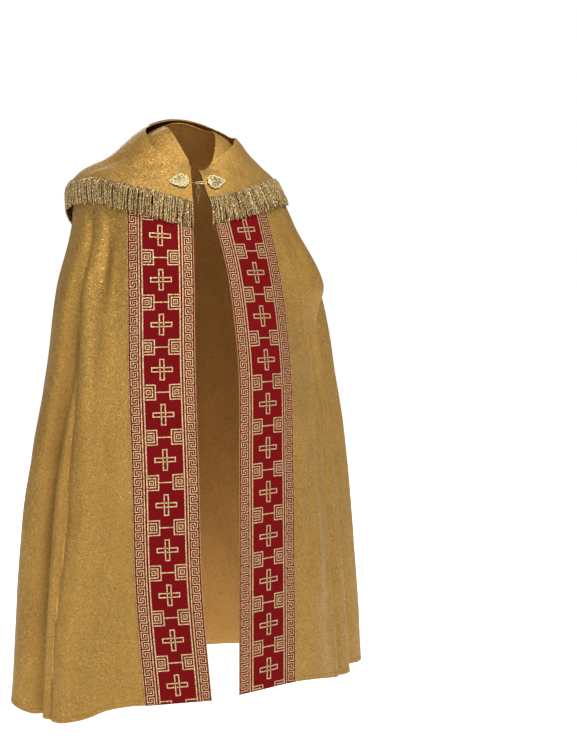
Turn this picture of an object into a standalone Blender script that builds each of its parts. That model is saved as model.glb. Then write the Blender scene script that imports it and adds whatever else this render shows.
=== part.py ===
"""Cope vestment, worn open: a long cloak of metallic cloth with woven front bands,
a shoulder hood with a back band and a fringe, and a chained clasp.

Frame: metres, +Z up, the garment's front towards -Y and the wearer's right towards -X.
The origin is the middle of the neck's base, where the shoulders carry the cope.
"""

import math
from collections import namedtuple

import bpy
import numpy as np

# ---------------------------------------------------------------- driving sizes, metres
CLOTH = 0.0016  # metallic cloth with its backing
BAND = 0.0014  # woven band
SEAM = 0.0004  # clearance between pieces sewn together
BAND_WIDTH = 0.147
STRIP_HEIGHT = 0.009  # heading that carries the fringe
STRIP_THICK = 0.0018
FRINGE_DROP = 0.052
STRAND_COUNT = 124
WIRE = 0.0008  # radius of the clasp's wire
PLATE_THICK = 0.0016
STRIP_GAP = 0.0009
TIP_HALF = 0.0018
TIP_CLEARANCE = 0.006
BACK_BAND_SHORT = 0.7  # the back band stops above the fringe's heading, as a share of a row
TAIL_INSET = 0.006

# Grid of the cloak: columns across one front band, columns round the rest, rows. The rows
# and the hood's ways crowd towards the neck and the edge by these powers.
BAND_COLUMNS = 6
BODY_COLUMNS = 76
BODY_ROWS = 24
HOOD_COLUMNS = 18  # on each side of the back band
BACK_COLUMNS = 6
HOOD_ROWS = 10
ROW_CROWDING = 1.25
WAY_CROWDING = 0.9
NARROW_BAND = 0.3  # most of a row's length that one band may take, near the neck
DENSE = 721  # samples round a section before it is divided by length
FULL_TURN = 360.0
BACK = 180.0
FADE_SPAN = 0.15  # share over which a fold that ends dies out
DEEPEST_HOOD = 0.6  # the hood's edge lies above this share of the cloak everywhere
NEAR_FRONT = 5.0  # first guess of a front edge's angle from the centre, degrees

# One row for each level of the cloak, from the neck to the hem. Heights and half widths
# are given at the front, the wearer's right and left sides and the back; `middle` is how
# far behind the origin the sides lie, `open_right` and `open_left` are the front edges.
Level = namedtuple(
    "Level",
    "front_z right_z left_z back_z right left front back middle open_right open_left",
)
BODY_LEVELS = (
    Level(-0.058, 0.047, 0.041, 0.064, 0.054, 0.058, 0.090, 0.064, 0.000, -0.027, -0.010),
    Level(-0.064, 0.025, 0.022, 0.055, 0.098, 0.096, 0.100, 0.100, 0.008, -0.030, -0.010),
    Level(-0.074, 0.000, -0.008, 0.020, 0.133, 0.125, 0.112, 0.140, 0.018, -0.034, -0.009),
    Level(-0.094, -0.037, -0.038, -0.038, 0.181, 0.164, 0.124, 0.174, 0.028, -0.037, -0.007),
    Level(-0.120, -0.075, -0.072, -0.097, 0.236, 0.207, 0.136, 0.200, 0.036, -0.040, -0.002),
    Level(-0.150, -0.115, -0.113, -0.155, 0.254, 0.242, 0.148, 0.216, 0.042, -0.043, 0.004),
    Level(-0.195, -0.176, -0.176, -0.220, 0.262, 0.269, 0.160, 0.227, 0.044, -0.046, 0.012),
    Level(-0.300, -0.320, -0.310, -0.340, 0.300, 0.304, 0.180, 0.240, 0.042, -0.051, 0.030),
    Level(-0.470, -0.500, -0.480, -0.510, 0.326, 0.356, 0.200, 0.256, 0.040, -0.057, 0.043),
    Level(-0.710, -0.760, -0.730, -0.750, 0.374, 0.397, 0.222, 0.280, 0.040, -0.058, 0.037),
    Level(-0.950, -1.005, -0.980, -1.000, 0.396, 0.421, 0.242, 0.302, 0.040, -0.059, 0.029),
    Level(-1.200, -1.282, -1.245, -1.272, 0.418, 0.439, 0.265, 0.328, 0.040, -0.046, 0.019),
)

# One row for each large fold. Angles run round from the front centre (0) over the wearer's
# right side (90), the back (180) and the left side (270). `depth` is out (+) or in (-) at
# full strength, `lean` slides the crest along the cloth; the fold starts at share `start`
# of the way down, is full at `full`, and dies out again by `end` where that is under 1.
Fold = namedtuple("Fold", "top hem width depth lean start full end")
FOLDS = (
    Fold(60, 61, 7.0, 0.012, 0.006, 0.20, 0.70, 2.0),
    Fold(68, 71, 5.0, -0.034, 0.000, 0.13, 0.60, 2.0),
    Fold(52, 52, 4.5, -0.009, 0.000, 0.13, 0.19, 0.40),
    Fold(82, 84, 7.0, 0.012, 0.000, 0.25, 0.80, 2.0),
    Fold(96, 99, 5.0, -0.012, 0.000, 0.30, 0.90, 2.0),
    Fold(126, 121, 5.0, -0.030, 0.000, 0.20, 0.60, 2.0),
    Fold(136, 131, 7.0, 0.012, 0.000, 0.22, 0.70, 2.0),
    Fold(158, 156, 10.0, 0.012, 0.000, 0.28, 0.60, 2.0),
    Fold(177, 176, 8.0, -0.018, 0.000, 0.28, 0.55, 2.0),
    Fold(198, 199, 10.0, 0.012, 0.000, 0.28, 0.60, 2.0),
    Fold(219, 221, 7.0, -0.014, 0.000, 0.30, 0.80, 2.0),
    Fold(241, 243, 7.0, 0.012, 0.000, 0.30, 0.80, 2.0),
    Fold(266, 267, 7.0, 0.036, 0.000, 0.18, 0.30, 2.0),
    Fold(268, 268, 6.0, 0.016, 0.000, 0.20, 0.28, 0.50),
    Fold(282, 284, 6.0, -0.070, 0.000, 0.27, 0.40, 2.0),
    Fold(306, 306, 15.0, -0.030, 0.000, 0.34, 0.50, 2.0),
)
# The bent left arm lifts the cloth at the elbow, and the cloth drops steeply below it.
ELBOW = {"angle": 300.0, "width": 14.0, "share": 0.327, "above": 0.08, "below": 0.045, "out": 0.044}

# How far the hem hangs below (+) or above (-) its level by angle. The cloth takes it up
# over its length, from this share down.
HemPoint = namedtuple("HemPoint", "angle drop")
HEM_SHAPE = (
    HemPoint(0, 0.028),
    HemPoint(12, 0.022),
    HemPoint(25, 0.014),
    HemPoint(32, 0.008),
    HemPoint(40, 0.009),
    HemPoint(46, 0.018),
    HemPoint(52, 0.021),
    HemPoint(57, 0.017),
    HemPoint(62, 0.008),
    HemPoint(68, 0.002),
    HemPoint(75, 0.000),
    HemPoint(80, -0.012),
    HemPoint(86, -0.020),
    HemPoint(92, -0.016),
    HemPoint(102, -0.006),
    HemPoint(115, 0.000),
    HemPoint(245, 0.000),
    HemPoint(258, 0.010),
    HemPoint(270, 0.018),
    HemPoint(282, 0.014),
    HemPoint(294, 0.018),
    HemPoint(306, 0.020),
    HemPoint(316, 0.016),
    HemPoint(328, 0.008),
    HemPoint(340, 0.007),
    HemPoint(350, 0.014),
    HemPoint(360, 0.022),
)
HEM_SHAPE_START = 0.15

# Height of the hood's lower edge by angle round the wearer.
EdgePoint = namedtuple("EdgePoint", "angle z")
HOOD_EDGE = (
    EdgePoint(0, -0.150),
    EdgePoint(22, -0.124),
    EdgePoint(40, -0.108),
    EdgePoint(52, -0.098),
    EdgePoint(75, -0.090),
    EdgePoint(92, -0.097),
    EdgePoint(115, -0.122),
    EdgePoint(138, -0.170),
    EdgePoint(158, -0.220),
    EdgePoint(170, -0.254),
    EdgePoint(180, -0.284),
    EdgePoint(190, -0.254),
    EdgePoint(202, -0.220),
    EdgePoint(222, -0.164),
    EdgePoint(245, -0.118),
    EdgePoint(268, -0.090),
    EdgePoint(285, -0.084),
    EdgePoint(315, -0.092),
    EdgePoint(330, -0.104),
    EdgePoint(345, -0.118),
    EdgePoint(360, -0.128),
)
# How far the hood stands off the cloak on its way from the neck seam (0) to its edge (1).
Lift = namedtuple("Lift", "share front right left back")
HOOD_LIFT = (
    Lift(0.00, 0.0000, 0.013, 0.015, 0.005),
    Lift(0.12, 0.0006, 0.012, 0.016, 0.011),
    Lift(0.26, 0.0012, 0.009, 0.014, 0.014),
    Lift(0.45, 0.0020, 0.007, 0.011, 0.009),
    Lift(0.70, 0.0020, 0.010, 0.009, 0.006),
    Lift(1.00, 0.0016, 0.020, 0.010, 0.005),
)
# Share of the cloak at which the hood begins: it rolls off the neck, widest at the sides.
RimPoint = namedtuple("RimPoint", "angle share")
HOOD_RIM = (
    RimPoint(0, 0.000),
    RimPoint(10, 0.008),
    RimPoint(20, 0.020),
    RimPoint(30, 0.034),
    RimPoint(40, 0.045),
    RimPoint(50, 0.052),
    RimPoint(60, 0.050),
    RimPoint(70, 0.042),
    RimPoint(80, 0.036),
    RimPoint(90, 0.030),
    RimPoint(110, 0.025),
    RimPoint(130, 0.018),
    RimPoint(180, 0.006),
    RimPoint(225, 0.016),
    RimPoint(250, 0.031),
    RimPoint(262, 0.040),
    RimPoint(275, 0.041),
    RimPoint(290, 0.036),
    RimPoint(305, 0.033),
    RimPoint(320, 0.020),
    RimPoint(330, 0.007),
    RimPoint(342, 0.000),
    RimPoint(360, 0.000),
)
WAY_STEP = 0.01  # used to measure the hood's slope
LIFT_START = 0.35  # share of the hood's drop over which it clears the front bands
NECK_GAP = 0.0018  # flat facets bring the two layers closer than this at the neck seam
BAND_START = 0.085  # share of the cloak at which the front bands begin, under the hood

# The clasp, each plate by where its middle lies on the hood.
PLATE_HALF_LONG = 0.0235
PLATE_HALF_TALL = 0.0190
PLATE_POINTS = 28
PLATE_LOBES = 7
PLATE_DOME = 0.0022
RIGHT_PLATE_X = -0.0605
LEFT_PLATE_X = 0.0190
PLATE_Z = -0.083
PLATE_OVERLAP = 0.0030  # how far the wire runs under each plate's inner tip
WIRE_GAP = 0.0004
LOOP_HALF_TALL = 0.0022
HOOK_RING_RADIUS = 0.0022
HOOK_RING_X = -0.0275
HOOK_NECK = 1.6  # where the hook's bend begins, in ring radii from its middle
HOOK_TURN = 1.8  # how far round the hook bends, in half turns
HOOK_STEPS = 12

# Tail of three links under the clasp: outer length, outer width, plane across or along X.
ChainLink = namedtuple("ChainLink", "name long wide across")
CHAIN = (
    ChainLink("chain_link_1", 0.0140, 0.0080, False),
    ChainLink("chain_link_2", 0.0220, 0.0096, True),
    ChainLink("chain_link_3", 0.0190, 0.0080, False),
)


# ---------------------------------------------------------------- small maths
def smooth(x):
    """Eased 0 to 1."""
    x = np.clip(x, 0.0, 1.0)
    return x * x * (3.0 - 2.0 * x)


def spline(knots, values, at):
    """Cubic through the values, with slopes from each knot's neighbours."""
    knots = np.asarray(knots, float)
    values = np.asarray(values, float)
    slopes = np.gradient(values, knots)
    at = np.clip(at, knots[0], knots[-1])
    i = np.clip(np.searchsorted(knots, at, side="right") - 1, 0, len(knots) - 2)
    span = knots[i + 1] - knots[i]
    t = (at - knots[i]) / span
    a = 2 * t**3 - 3 * t**2 + 1
    b = t**3 - 2 * t**2 + t
    c = -2 * t**3 + 3 * t**2
    d = t**3 - t**2
    return a * values[i] + b * span * slopes[i] + c * values[i + 1] + d * span * slopes[i + 1]


def column(rows, name):
    return [getattr(row, name) for row in rows]


def unit(vectors):
    return vectors / np.linalg.norm(vectors, axis=-1, keepdims=True)


def grid_normals(grid):
    """Outward unit normals of a grid of points, rows running down and columns from the
    wearer's right front edge round the back."""
    return unit(np.cross(np.gradient(grid, axis=1), np.gradient(grid, axis=0)))


def run_along(points):
    """Length run from the first point to each point."""
    steps = np.linalg.norm(np.diff(points, axis=0), axis=1)
    return np.concatenate([[0.0], np.cumsum(steps)])


# ---------------------------------------------------------------- the cloak's surface
def level_shares():
    """How far down the cloak each level lies, measured over the wearer's right side."""
    side = np.array([(row.right, row.right_z) for row in BODY_LEVELS])
    run = run_along(side)
    return run / run[-1]


SHARES = level_shares()


def level_at(share):
    return Level(*(spline(SHARES, column(BODY_LEVELS, f), share) for f in Level._fields))


def fold_strength(fold, share):
    grow = smooth((share - fold.start) / (fold.full - fold.start))
    fade = 1.0 - smooth((share - fold.end + FADE_SPAN) / FADE_SPAN)
    return grow * fade


def elbow_out(share, angle):
    spread = np.where(share < ELBOW["share"], ELBOW["above"], ELBOW["below"])
    down = np.exp(-(((share - ELBOW["share"]) / spread) ** 2))
    return ELBOW["out"] * down * np.exp(-(((angle - ELBOW["angle"]) / ELBOW["width"]) ** 2))


def hem_drop(share, angle):
    full = spline(column(HEM_SHAPE, "angle"), column(HEM_SHAPE, "drop"), angle)
    return full * np.clip((share - HEM_SHAPE_START) / (1.0 - HEM_SHAPE_START), 0.0, 1.0)


def cloak(share, angle):
    """Points of the cloak's outer face, for paired shares and angles in degrees."""
    share, angle = np.broadcast_arrays(np.asarray(share, float), np.asarray(angle, float))
    lv = level_at(share)
    t = np.radians(angle)
    on_right = np.sin(t) > 0
    ahead = np.cos(t) > 0
    half = np.where(on_right, lv.right, lv.left)
    deep = np.where(ahead, lv.front + lv.middle, lv.back - lv.middle)
    plan = np.stack([-half * np.sin(t), lv.middle - deep * np.cos(t)], axis=-1)
    side_z = np.where(on_right, lv.right_z, lv.left_z)
    end_z = np.where(ahead, lv.front_z, lv.back_z)
    z = side_z * np.sin(t) ** 2 + end_z * np.cos(t) ** 2 - hem_drop(share, angle)
    along = unit(np.stack([-half * np.cos(t), deep * np.sin(t)], axis=-1))
    out = np.stack([-along[..., 1], along[..., 0]], axis=-1)
    push = elbow_out(share, angle)
    slide = np.zeros_like(push)
    for fold in FOLDS:
        centre = fold.top + (fold.hem - fold.top) * share
        bump = fold_strength(fold, share) * np.exp(-(((angle - centre) / fold.width) ** 2))
        push = push + fold.depth * bump
        slide = slide + fold.lean * bump
    plan = plan + out * push[..., None] + along * slide[..., None]
    return np.concatenate([plan, z[..., None]], axis=-1)


def cloak_normals(share, angle, step_share=0.004, step_angle=0.8):
    across = cloak(share, angle + step_angle) - cloak(share, angle - step_angle)
    down = cloak(share + step_share, angle) - cloak(np.maximum(share - step_share, 0.0), angle)
    return unit(np.cross(across, down))


def edge_angles(share):
    """Angles of the two front edges at one level."""
    lv = level_at(share)
    first = np.degrees(np.arcsin(-lv.open_right / lv.right))
    last = FULL_TURN - np.degrees(np.arcsin(lv.open_left / lv.left))
    return first, last


def body_row(share):
    angles = np.linspace(*edge_angles(share), DENSE)
    run = run_along(cloak(share, angles))
    width = min(BAND_WIDTH, NARROW_BAND * run[-1])
    front = np.linspace(0.0, width, BAND_COLUMNS + 1)
    rest = np.linspace(width, run[-1] - width, BODY_COLUMNS + 1)
    stops = np.concatenate([front, rest[1:-1], run[-1] - front[::-1]])
    return cloak(share, np.interp(stops, run, angles))


def body_grid():
    """The cloak's outer points, and the row at which the front bands begin."""
    shares = np.linspace(0.0, 1.0, BODY_ROWS + 1) ** ROW_CROWDING
    rows = [body_row(share) for share in shares]
    return np.array(rows), int(np.searchsorted(shares, BAND_START))


# ---------------------------------------------------------------- the hood's surface
def share_at_height(angle, z):
    """Where the cloak's surface comes down to a height, along each angle."""
    low = np.zeros_like(angle)
    high = np.full_like(angle, DEEPEST_HOOD)
    for _ in range(30):
        mid = (low + high) / 2
        above = cloak(mid, angle)[..., 2] > z
        low = np.where(above, mid, low)
        high = np.where(above, high, mid)
    return (low + high) / 2


def hood_edge_z(angle):
    return spline(column(HOOD_EDGE, "angle"), column(HOOD_EDGE, "z"), angle)


def hood_lift(way, angle):
    t = np.radians(angle)
    at = {f: spline(column(HOOD_LIFT, "share"), column(HOOD_LIFT, f), way) for f in Lift._fields}
    end = np.where(np.cos(t) > 0, at["front"], at["back"])
    side = np.where(np.sin(t) > 0, at["right"], at["left"])
    free = end * np.cos(t) ** 2 + side * np.sin(t) ** 2
    return NECK_GAP + (BAND + 3 * SEAM - NECK_GAP) * smooth(way / LIFT_START) + free


TABLE_ANGLES = np.linspace(-5.0, FULL_TURN + 5.0, 371)
EDGE_SHARES = share_at_height(TABLE_ANGLES, hood_edge_z(TABLE_ANGLES))


def hood_share(way, angle):
    """The cloak's share that lies under a place on the hood."""
    rim = spline(column(HOOD_RIM, "angle"), column(HOOD_RIM, "share"), angle)
    return rim + way * (np.interp(angle, TABLE_ANGLES, EDGE_SHARES) - rim)


def hood_face(way, angle):
    """Points of the hood's inner face, `way` running from its neck seam to its edge."""
    way, angle = np.broadcast_arrays(np.asarray(way, float), np.asarray(angle, float))
    share = hood_share(way, angle)
    lifted = hood_lift(way, angle)[..., None]
    return cloak(share, angle) + lifted * cloak_normals(share, angle)


def hood_limits(way):
    """Angles of the hood's two front edges, in line with the cloak's own."""
    ends = []
    for side, angle in enumerate((NEAR_FRONT, FULL_TURN - NEAR_FRONT)):
        for _ in range(6):
            angle = float(edge_angles(hood_share(way, angle))[side])
        ends.append(angle)
    return ends


def hood_row(way):
    angles = np.linspace(*hood_limits(way), DENSE)
    points = hood_face(way, angles)
    run = run_along(points)
    middle = np.interp(BACK, angles, run)
    half = BAND_WIDTH / 2
    stops = np.concatenate(
        [
            np.linspace(0.0, middle - half, HOOD_COLUMNS + 1)[:-1],
            np.linspace(middle - half, middle + half, BACK_COLUMNS + 1),
            np.linspace(middle + half, run[-1], HOOD_COLUMNS + 1)[1:],
        ]
    )
    at = np.interp(stops, run, angles)
    return hood_face(way, at), at


def hood_grid():
    """The hood's inner points, and the angles of the points along its edge."""
    ways = np.linspace(0.0, 1.0, HOOD_ROWS + 1) ** WAY_CROWDING
    rows, angles = zip(*(hood_row(way) for way in ways))
    return np.array(rows), angles[-1]


# ---------------------------------------------------------------- making solids
def material(name, colour, roughness, metallic):
    made = bpy.data.materials.new(name)
    made.use_nodes = True
    shader = made.node_tree.nodes["Principled BSDF"]
    shader.inputs["Base Color"].default_value = (*colour, 1.0)
    shader.inputs["Roughness"].default_value = roughness
    shader.inputs["Metallic"].default_value = metallic
    return made


def add_object(name, points, faces, made_of):
    mesh = bpy.data.meshes.new(name)
    mesh.from_pydata([tuple(p) for p in points], [], faces)
    mesh.validate()
    mesh.shade_smooth()
    obj = bpy.data.objects.new(name, mesh)
    obj.data.materials.append(made_of)
    bpy.context.scene.collection.objects.link(obj)
    return obj


def wall(name, inner, outer, made_of):
    """A closed wall between two grids of points, split along the same diagonals."""
    rows, columns = inner.shape[:2]
    points = np.concatenate([outer.reshape(-1, 3), inner.reshape(-1, 3)])
    behind = rows * columns

    def at(r, c):
        return r * columns + c

    faces = []
    for r in range(rows - 1):
        for c in range(columns - 1):
            upper = (at(r, c), at(r, c + 1), at(r + 1, c + 1))
            lower = (at(r, c), at(r + 1, c + 1), at(r + 1, c))
            for face in (upper, lower):
                faces.append(face)
                faces.append(tuple(i + behind for i in reversed(face)))
    rim = [at(0, c) for c in range(columns)]
    rim += [at(r, columns - 1) for r in range(1, rows)]
    rim += [at(rows - 1, c) for c in range(columns - 2, -1, -1)]
    rim += [at(r, 0) for r in range(rows - 2, 0, -1)]
    for a, b in zip(rim, rim[1:] + rim[:1]):
        faces.append((b, a, a + behind, b + behind))
    return add_object(name, points, faces, made_of)


def band_on(name, grid, normals, made_of):
    """A band laid on a panel's own points."""
    return wall(name, grid + normals * SEAM, grid + normals * (SEAM + BAND), made_of)


# ---------------------------------------------------------------- fringe
def fringe(name, hood_outer, edge_at, made_of):
    """A heading strip along the hood's edge with tapered strands hanging from it, joined
    into one body. The strip is cut into a strand's root and a gap by turns."""
    normals = grid_normals(hood_outer)
    edge, edge_normal = hood_outer[-1], normals[-1]
    above, above_normal = hood_outer[-2], normals[-2]
    run = run_along(edge)
    stops = np.linspace(0.0, run[-1], 2 * STRAND_COUNT)
    stop_angles = np.interp(stops, run, edge_at)

    def along(values, at):
        return np.array([np.interp(at, run, values[:, k]) for k in range(3)]).T

    low = along(edge, stops)
    low_normal = unit(along(edge_normal, stops))
    up = along(above, stops) - low
    high = low + up * (STRIP_HEIGHT / np.linalg.norm(up, axis=1, keepdims=True))
    high_normal = unit(along(above_normal, stops))
    corners = [
        high + high_normal * (STRIP_GAP + STRIP_THICK),
        low + low_normal * (STRIP_GAP + STRIP_THICK),
        low + low_normal * STRIP_GAP,
        high + high_normal * STRIP_GAP,
    ]
    count = len(stops)
    points = [tuple(p) for ring in corners for p in ring]
    faces = []
    for i in range(count - 1):
        for ring in range(4):
            if ring == 1 and i % 2 == 0:
                continue
            a = ring * count + i
            b = (ring + 1) % 4 * count + i
            faces.append((a, b, b + 1, a + 1))
    faces.append(tuple(ring * count for ring in (3, 2, 1, 0)))
    faces.append(tuple(ring * count + count - 1 for ring in range(4)))
    for i in range(0, count - 1, 2):
        root = [1 * count + i, 2 * count + i, 2 * count + i + 1, 1 * count + i + 1]
        middle = sum(np.array(points[k]) for k in root) / 4
        tip = strand_tip(middle, (stop_angles[i] + stop_angles[i + 1]) / 2)
        side = unit(low[i + 1] - low[i]) * TIP_HALF
        first = len(points)
        points += [tuple(tip - side), tuple(tip + side)]
        outer_a, inner_a, inner_b, outer_b = root
        faces += [
            (outer_a, first, first + 1, outer_b),
            (inner_b, first + 1, first, inner_a),
            (outer_a, inner_a, first),
            (inner_b, outer_b, first + 1),
        ]
    obj = add_object(name, points, faces, made_of)
    obj.data.flip_normals()
    return obj


def strand_tip(root, angle):
    """A strand hangs straight down, or lies over the cloak where that slopes out."""
    x, y, z = root
    share = share_at_height(np.array([angle]), z - FRINGE_DROP)
    foot = (cloak(share, angle) + cloak_normals(share, angle) * TIP_CLEARANCE)[0]
    spread = max(math.hypot(foot[0], foot[1]) / math.hypot(x, y), 1.0)
    return np.array([x * spread, y * spread, z - FRINGE_DROP])


# ---------------------------------------------------------------- clasp
def hood_place(x, z):
    """Way and angle at which the hood's front has a given x and z."""
    ways = np.linspace(0.02, 1.0, 60)
    angles = np.concatenate([np.linspace(0.0, 60.0, 121), np.linspace(300.0, 360.0, 121)])
    w, a = np.meshgrid(ways, angles)
    face = hood_face(w, a)
    miss = (face[..., 0] - x) ** 2 + (face[..., 2] - z) ** 2
    best = np.unravel_index(np.argmin(miss), miss.shape)
    return w[best], a[best]


def tangents(way, angle):
    """Point, steps per degree and per way, and outward normal of the hood."""
    point = hood_face(way, angle)
    across = hood_face(way, angle + 0.5) - hood_face(way, angle - 0.5)
    down = hood_face(way + WAY_STEP, angle) - hood_face(way - WAY_STEP, angle)
    normal = unit(np.cross(across, down))
    return point, across, down / (2 * WAY_STEP), normal


def hood_offset(centre, a, b, out):
    """A point `a` to the wearer's left and `b` up from a place on the hood, raised `out`
    from its outer face."""
    way, angle = centre
    _, per_degree, per_way, _ = tangents(way, angle)
    left = -per_degree
    up = -per_way
    degrees = -a / np.linalg.norm(left)
    ways = -b / np.linalg.norm(up)
    point, _, _, normal = tangents(way + ways, angle + degrees)
    return point + normal * (CLOTH + out)


def plate(name, centre, inner_side, made_of):
    """A scalloped leaf on the hood, domed, its inner tip raised over the clasp's wire."""
    rings = (0.55, 1.0)
    lift_tip = 2 * (WIRE + WIRE_GAP)
    top, bottom = [], []

    def place(scale, turn):
        lobe = 1.0 - 0.11 * (1.0 - abs(math.cos(PLATE_LOBES * turn / 2)))
        a = PLATE_HALF_LONG * math.cos(turn) * scale * lobe
        b = PLATE_HALF_TALL * math.sin(turn) * scale * lobe
        tilt = (a * inner_side / PLATE_HALF_LONG + 1.0) / 2
        base = WIRE_GAP + lift_tip * tilt
        return (
            hood_offset(centre, a, b, base),
            hood_offset(centre, a, b, base + PLATE_THICK + PLATE_DOME * (1.0 - scale)),
        )

    turns = [2 * math.pi * k / PLATE_POINTS for k in range(PLATE_POINTS)]
    low, high = place(0.0, 0.0)
    bottom.append(low)
    top.append(high)
    for scale in rings:
        for turn in turns:
            low, high = place(scale, turn)
            bottom.append(low)
            top.append(high)
    behind = len(top)
    faces = []
    n = PLATE_POINTS
    for k in range(n):
        nxt = (k + 1) % n
        cap = [(0, 1 + k, 1 + nxt), (1 + k, 1 + n + k, 1 + n + nxt, 1 + nxt)]
        for face in cap:
            faces.append(face)
            faces.append(tuple(i + behind for i in reversed(face)))
        faces.append((1 + n + k, 1 + n + k + behind, 1 + n + nxt + behind, 1 + n + nxt))
    return add_object(name, top + bottom, faces, made_of)


def wire(name, points, plane_normal, closed, made_of, sides=6):
    """Round wire along a flat path, closed into a ring or capped at its ends."""
    points = [np.array(p) for p in points]
    count = len(points)
    normal = unit(np.array(plane_normal))
    rings = []
    for k in range(count):
        before = points[k - 1] if closed or k > 0 else points[k]
        after = points[(k + 1) % count] if closed or k < count - 1 else points[k]
        side = unit(np.cross(after - before, normal))
        for j in range(sides):
            turn = 2 * math.pi * j / sides
            rings.append(points[k] + WIRE * (math.cos(turn) * side + math.sin(turn) * normal))
    faces = []
    for k in range(count if closed else count - 1):
        after = (k + 1) % count
        for j in range(sides):
            nxt = (j + 1) % sides
            faces.append((k * sides + j, k * sides + nxt, after * sides + nxt, after * sides + j))
    if not closed:
        faces.append(tuple(reversed(range(sides))))
        faces.append(tuple((count - 1) * sides + j for j in range(sides)))
    obj = add_object(name, rings, faces, made_of)
    obj.data.flip_normals()
    return obj


def stadium(middle, long_way, wide_way, long, wide, steps=5):
    """Centre line of an oval link, its outer length and width given."""
    radius = wide / 2 - WIRE
    straight = long / 2 - WIRE - radius
    path = []
    for end in (1, -1):
        for k in range(steps + 1):
            turn = math.pi * k / steps
            path.append(
                middle
                + long_way * end * (straight + radius * math.sin(turn))
                + wide_way * end * radius * math.cos(turn)
            )
    return path


# ---------------------------------------------------------------- the whole
def clear_scene():
    for obj in list(bpy.data.objects):
        bpy.data.objects.remove(obj, do_unlink=True)


def make_cloth(cloth, band, bullion):
    grid, band_row = body_grid()
    normals = grid_normals(grid)
    wall("cope_body", grid - normals * CLOTH, grid, cloth)
    right = (slice(band_row, None), slice(0, BAND_COLUMNS + 1))
    left = (slice(band_row, None), slice(-BAND_COLUMNS - 1, None))
    band_on("orphrey_right", grid[right], normals[right], band)
    band_on("orphrey_left", grid[left], normals[left], band)
    inner, edge_at = hood_grid()
    outer = inner + grid_normals(inner) * CLOTH
    wall("hood", inner, outer, cloth)
    back = (slice(1, None), slice(HOOD_COLUMNS, HOOD_COLUMNS + BACK_COLUMNS + 1))
    strip = outer[back].copy()
    strip[-1] += (strip[-2] - strip[-1]) * BACK_BAND_SHORT
    band_on("hood_orphrey", strip, grid_normals(outer)[back], band)
    fringe("hood_fringe", outer, edge_at, bullion)


def make_clasp(brass):
    right = hood_place(RIGHT_PLATE_X, PLATE_Z)
    left = hood_place(LEFT_PLATE_X, PLATE_Z)
    plate("clasp_plate_right", right, 1.0, brass)
    plate("clasp_plate_left", left, -1.0, brass)
    reach = PLATE_HALF_LONG - PLATE_OVERLAP
    start = hood_offset(right, reach, 0.0, WIRE_GAP + WIRE)
    end = hood_offset(left, -reach, 0.0, WIRE_GAP + WIRE)
    level = unit(end - start)
    _, _, down, _ = tangents(*left)
    down = unit(down - level * np.dot(down, level))
    out = np.cross(level, down)
    ring_middle = start + level * (HOOK_RING_X - start[0]) / level[0]
    loop_long = np.linalg.norm(end - ring_middle) + 2 * WIRE
    loop_wide = 2 * (LOOP_HALF_TALL + WIRE)
    loop_middle = (ring_middle + end) / 2
    wire("clasp_loop", stadium(loop_middle, level, down, loop_long, loop_wide), out, True, brass)
    hook = [start, ring_middle - level * HOOK_RING_RADIUS * HOOK_NECK]
    for k in range(HOOK_STEPS):
        turn = math.pi * (1.0 - HOOK_TURN * k / (HOOK_STEPS - 1))
        hook.append(
            ring_middle
            + HOOK_RING_RADIUS * (level * math.cos(turn) + out * math.sin(turn))
        )
    wire("clasp_hook", hook, down, False, brass)
    return loop_middle, level, down, loop_long


def make_chain(hang, brass):
    """Each link hangs in the one above: its wire over the lowest wire of that one."""
    x_way = np.array([1.0, 0.0, 0.0])
    y_way = np.array([0.0, 1.0, 0.0])
    up = np.array([0.0, 0.0, 1.0])
    for link in CHAIN:
        top_wire = hang + up * (2 * WIRE + WIRE_GAP)
        middle = top_wire - up * (link.long / 2 - WIRE)
        wide_way, normal = (x_way, y_way) if link.across else (y_way, x_way)
        wire(link.name, stadium(middle, up, wide_way, link.long, link.wide), normal, True, brass)
        hang = top_wire - up * (link.long - 2 * WIRE)


def main():
    clear_scene()
    cloth = material("gold_cloth", (0.45, 0.26, 0.06), 0.45, 0.6)
    band = material("woven_band", (0.20, 0.01, 0.01), 0.7, 0.0)
    bullion = material("bullion", (0.45, 0.32, 0.14), 0.5, 0.5)
    brass = material("brass", (0.60, 0.48, 0.24), 0.3, 1.0)
    make_cloth(cloth, band, bullion)
    loop_middle, level, down, loop_long = make_clasp(brass)
    hang = loop_middle - level * (loop_long / 2 - TAIL_INSET) + down * LOOP_HALF_TALL
    make_chain(hang, brass)


main()
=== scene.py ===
"""Cope vestment, the looks: metallic cloth with its folds and creases, woven front and back
bands with their raised gold pattern, a twisted bullion fringe, stitching and a leaf clasp.

Metres, +Z up, the garment's front towards -Y, the wearer's right towards -X, the origin
where the shoulders carry it. The large forms repeat the solids' own tables, and every
piece lies on or in the solid that it stands for.
"""

import math
from collections import namedtuple

import bpy
import numpy as np
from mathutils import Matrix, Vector
from mathutils.bvhtree import BVHTree


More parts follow.
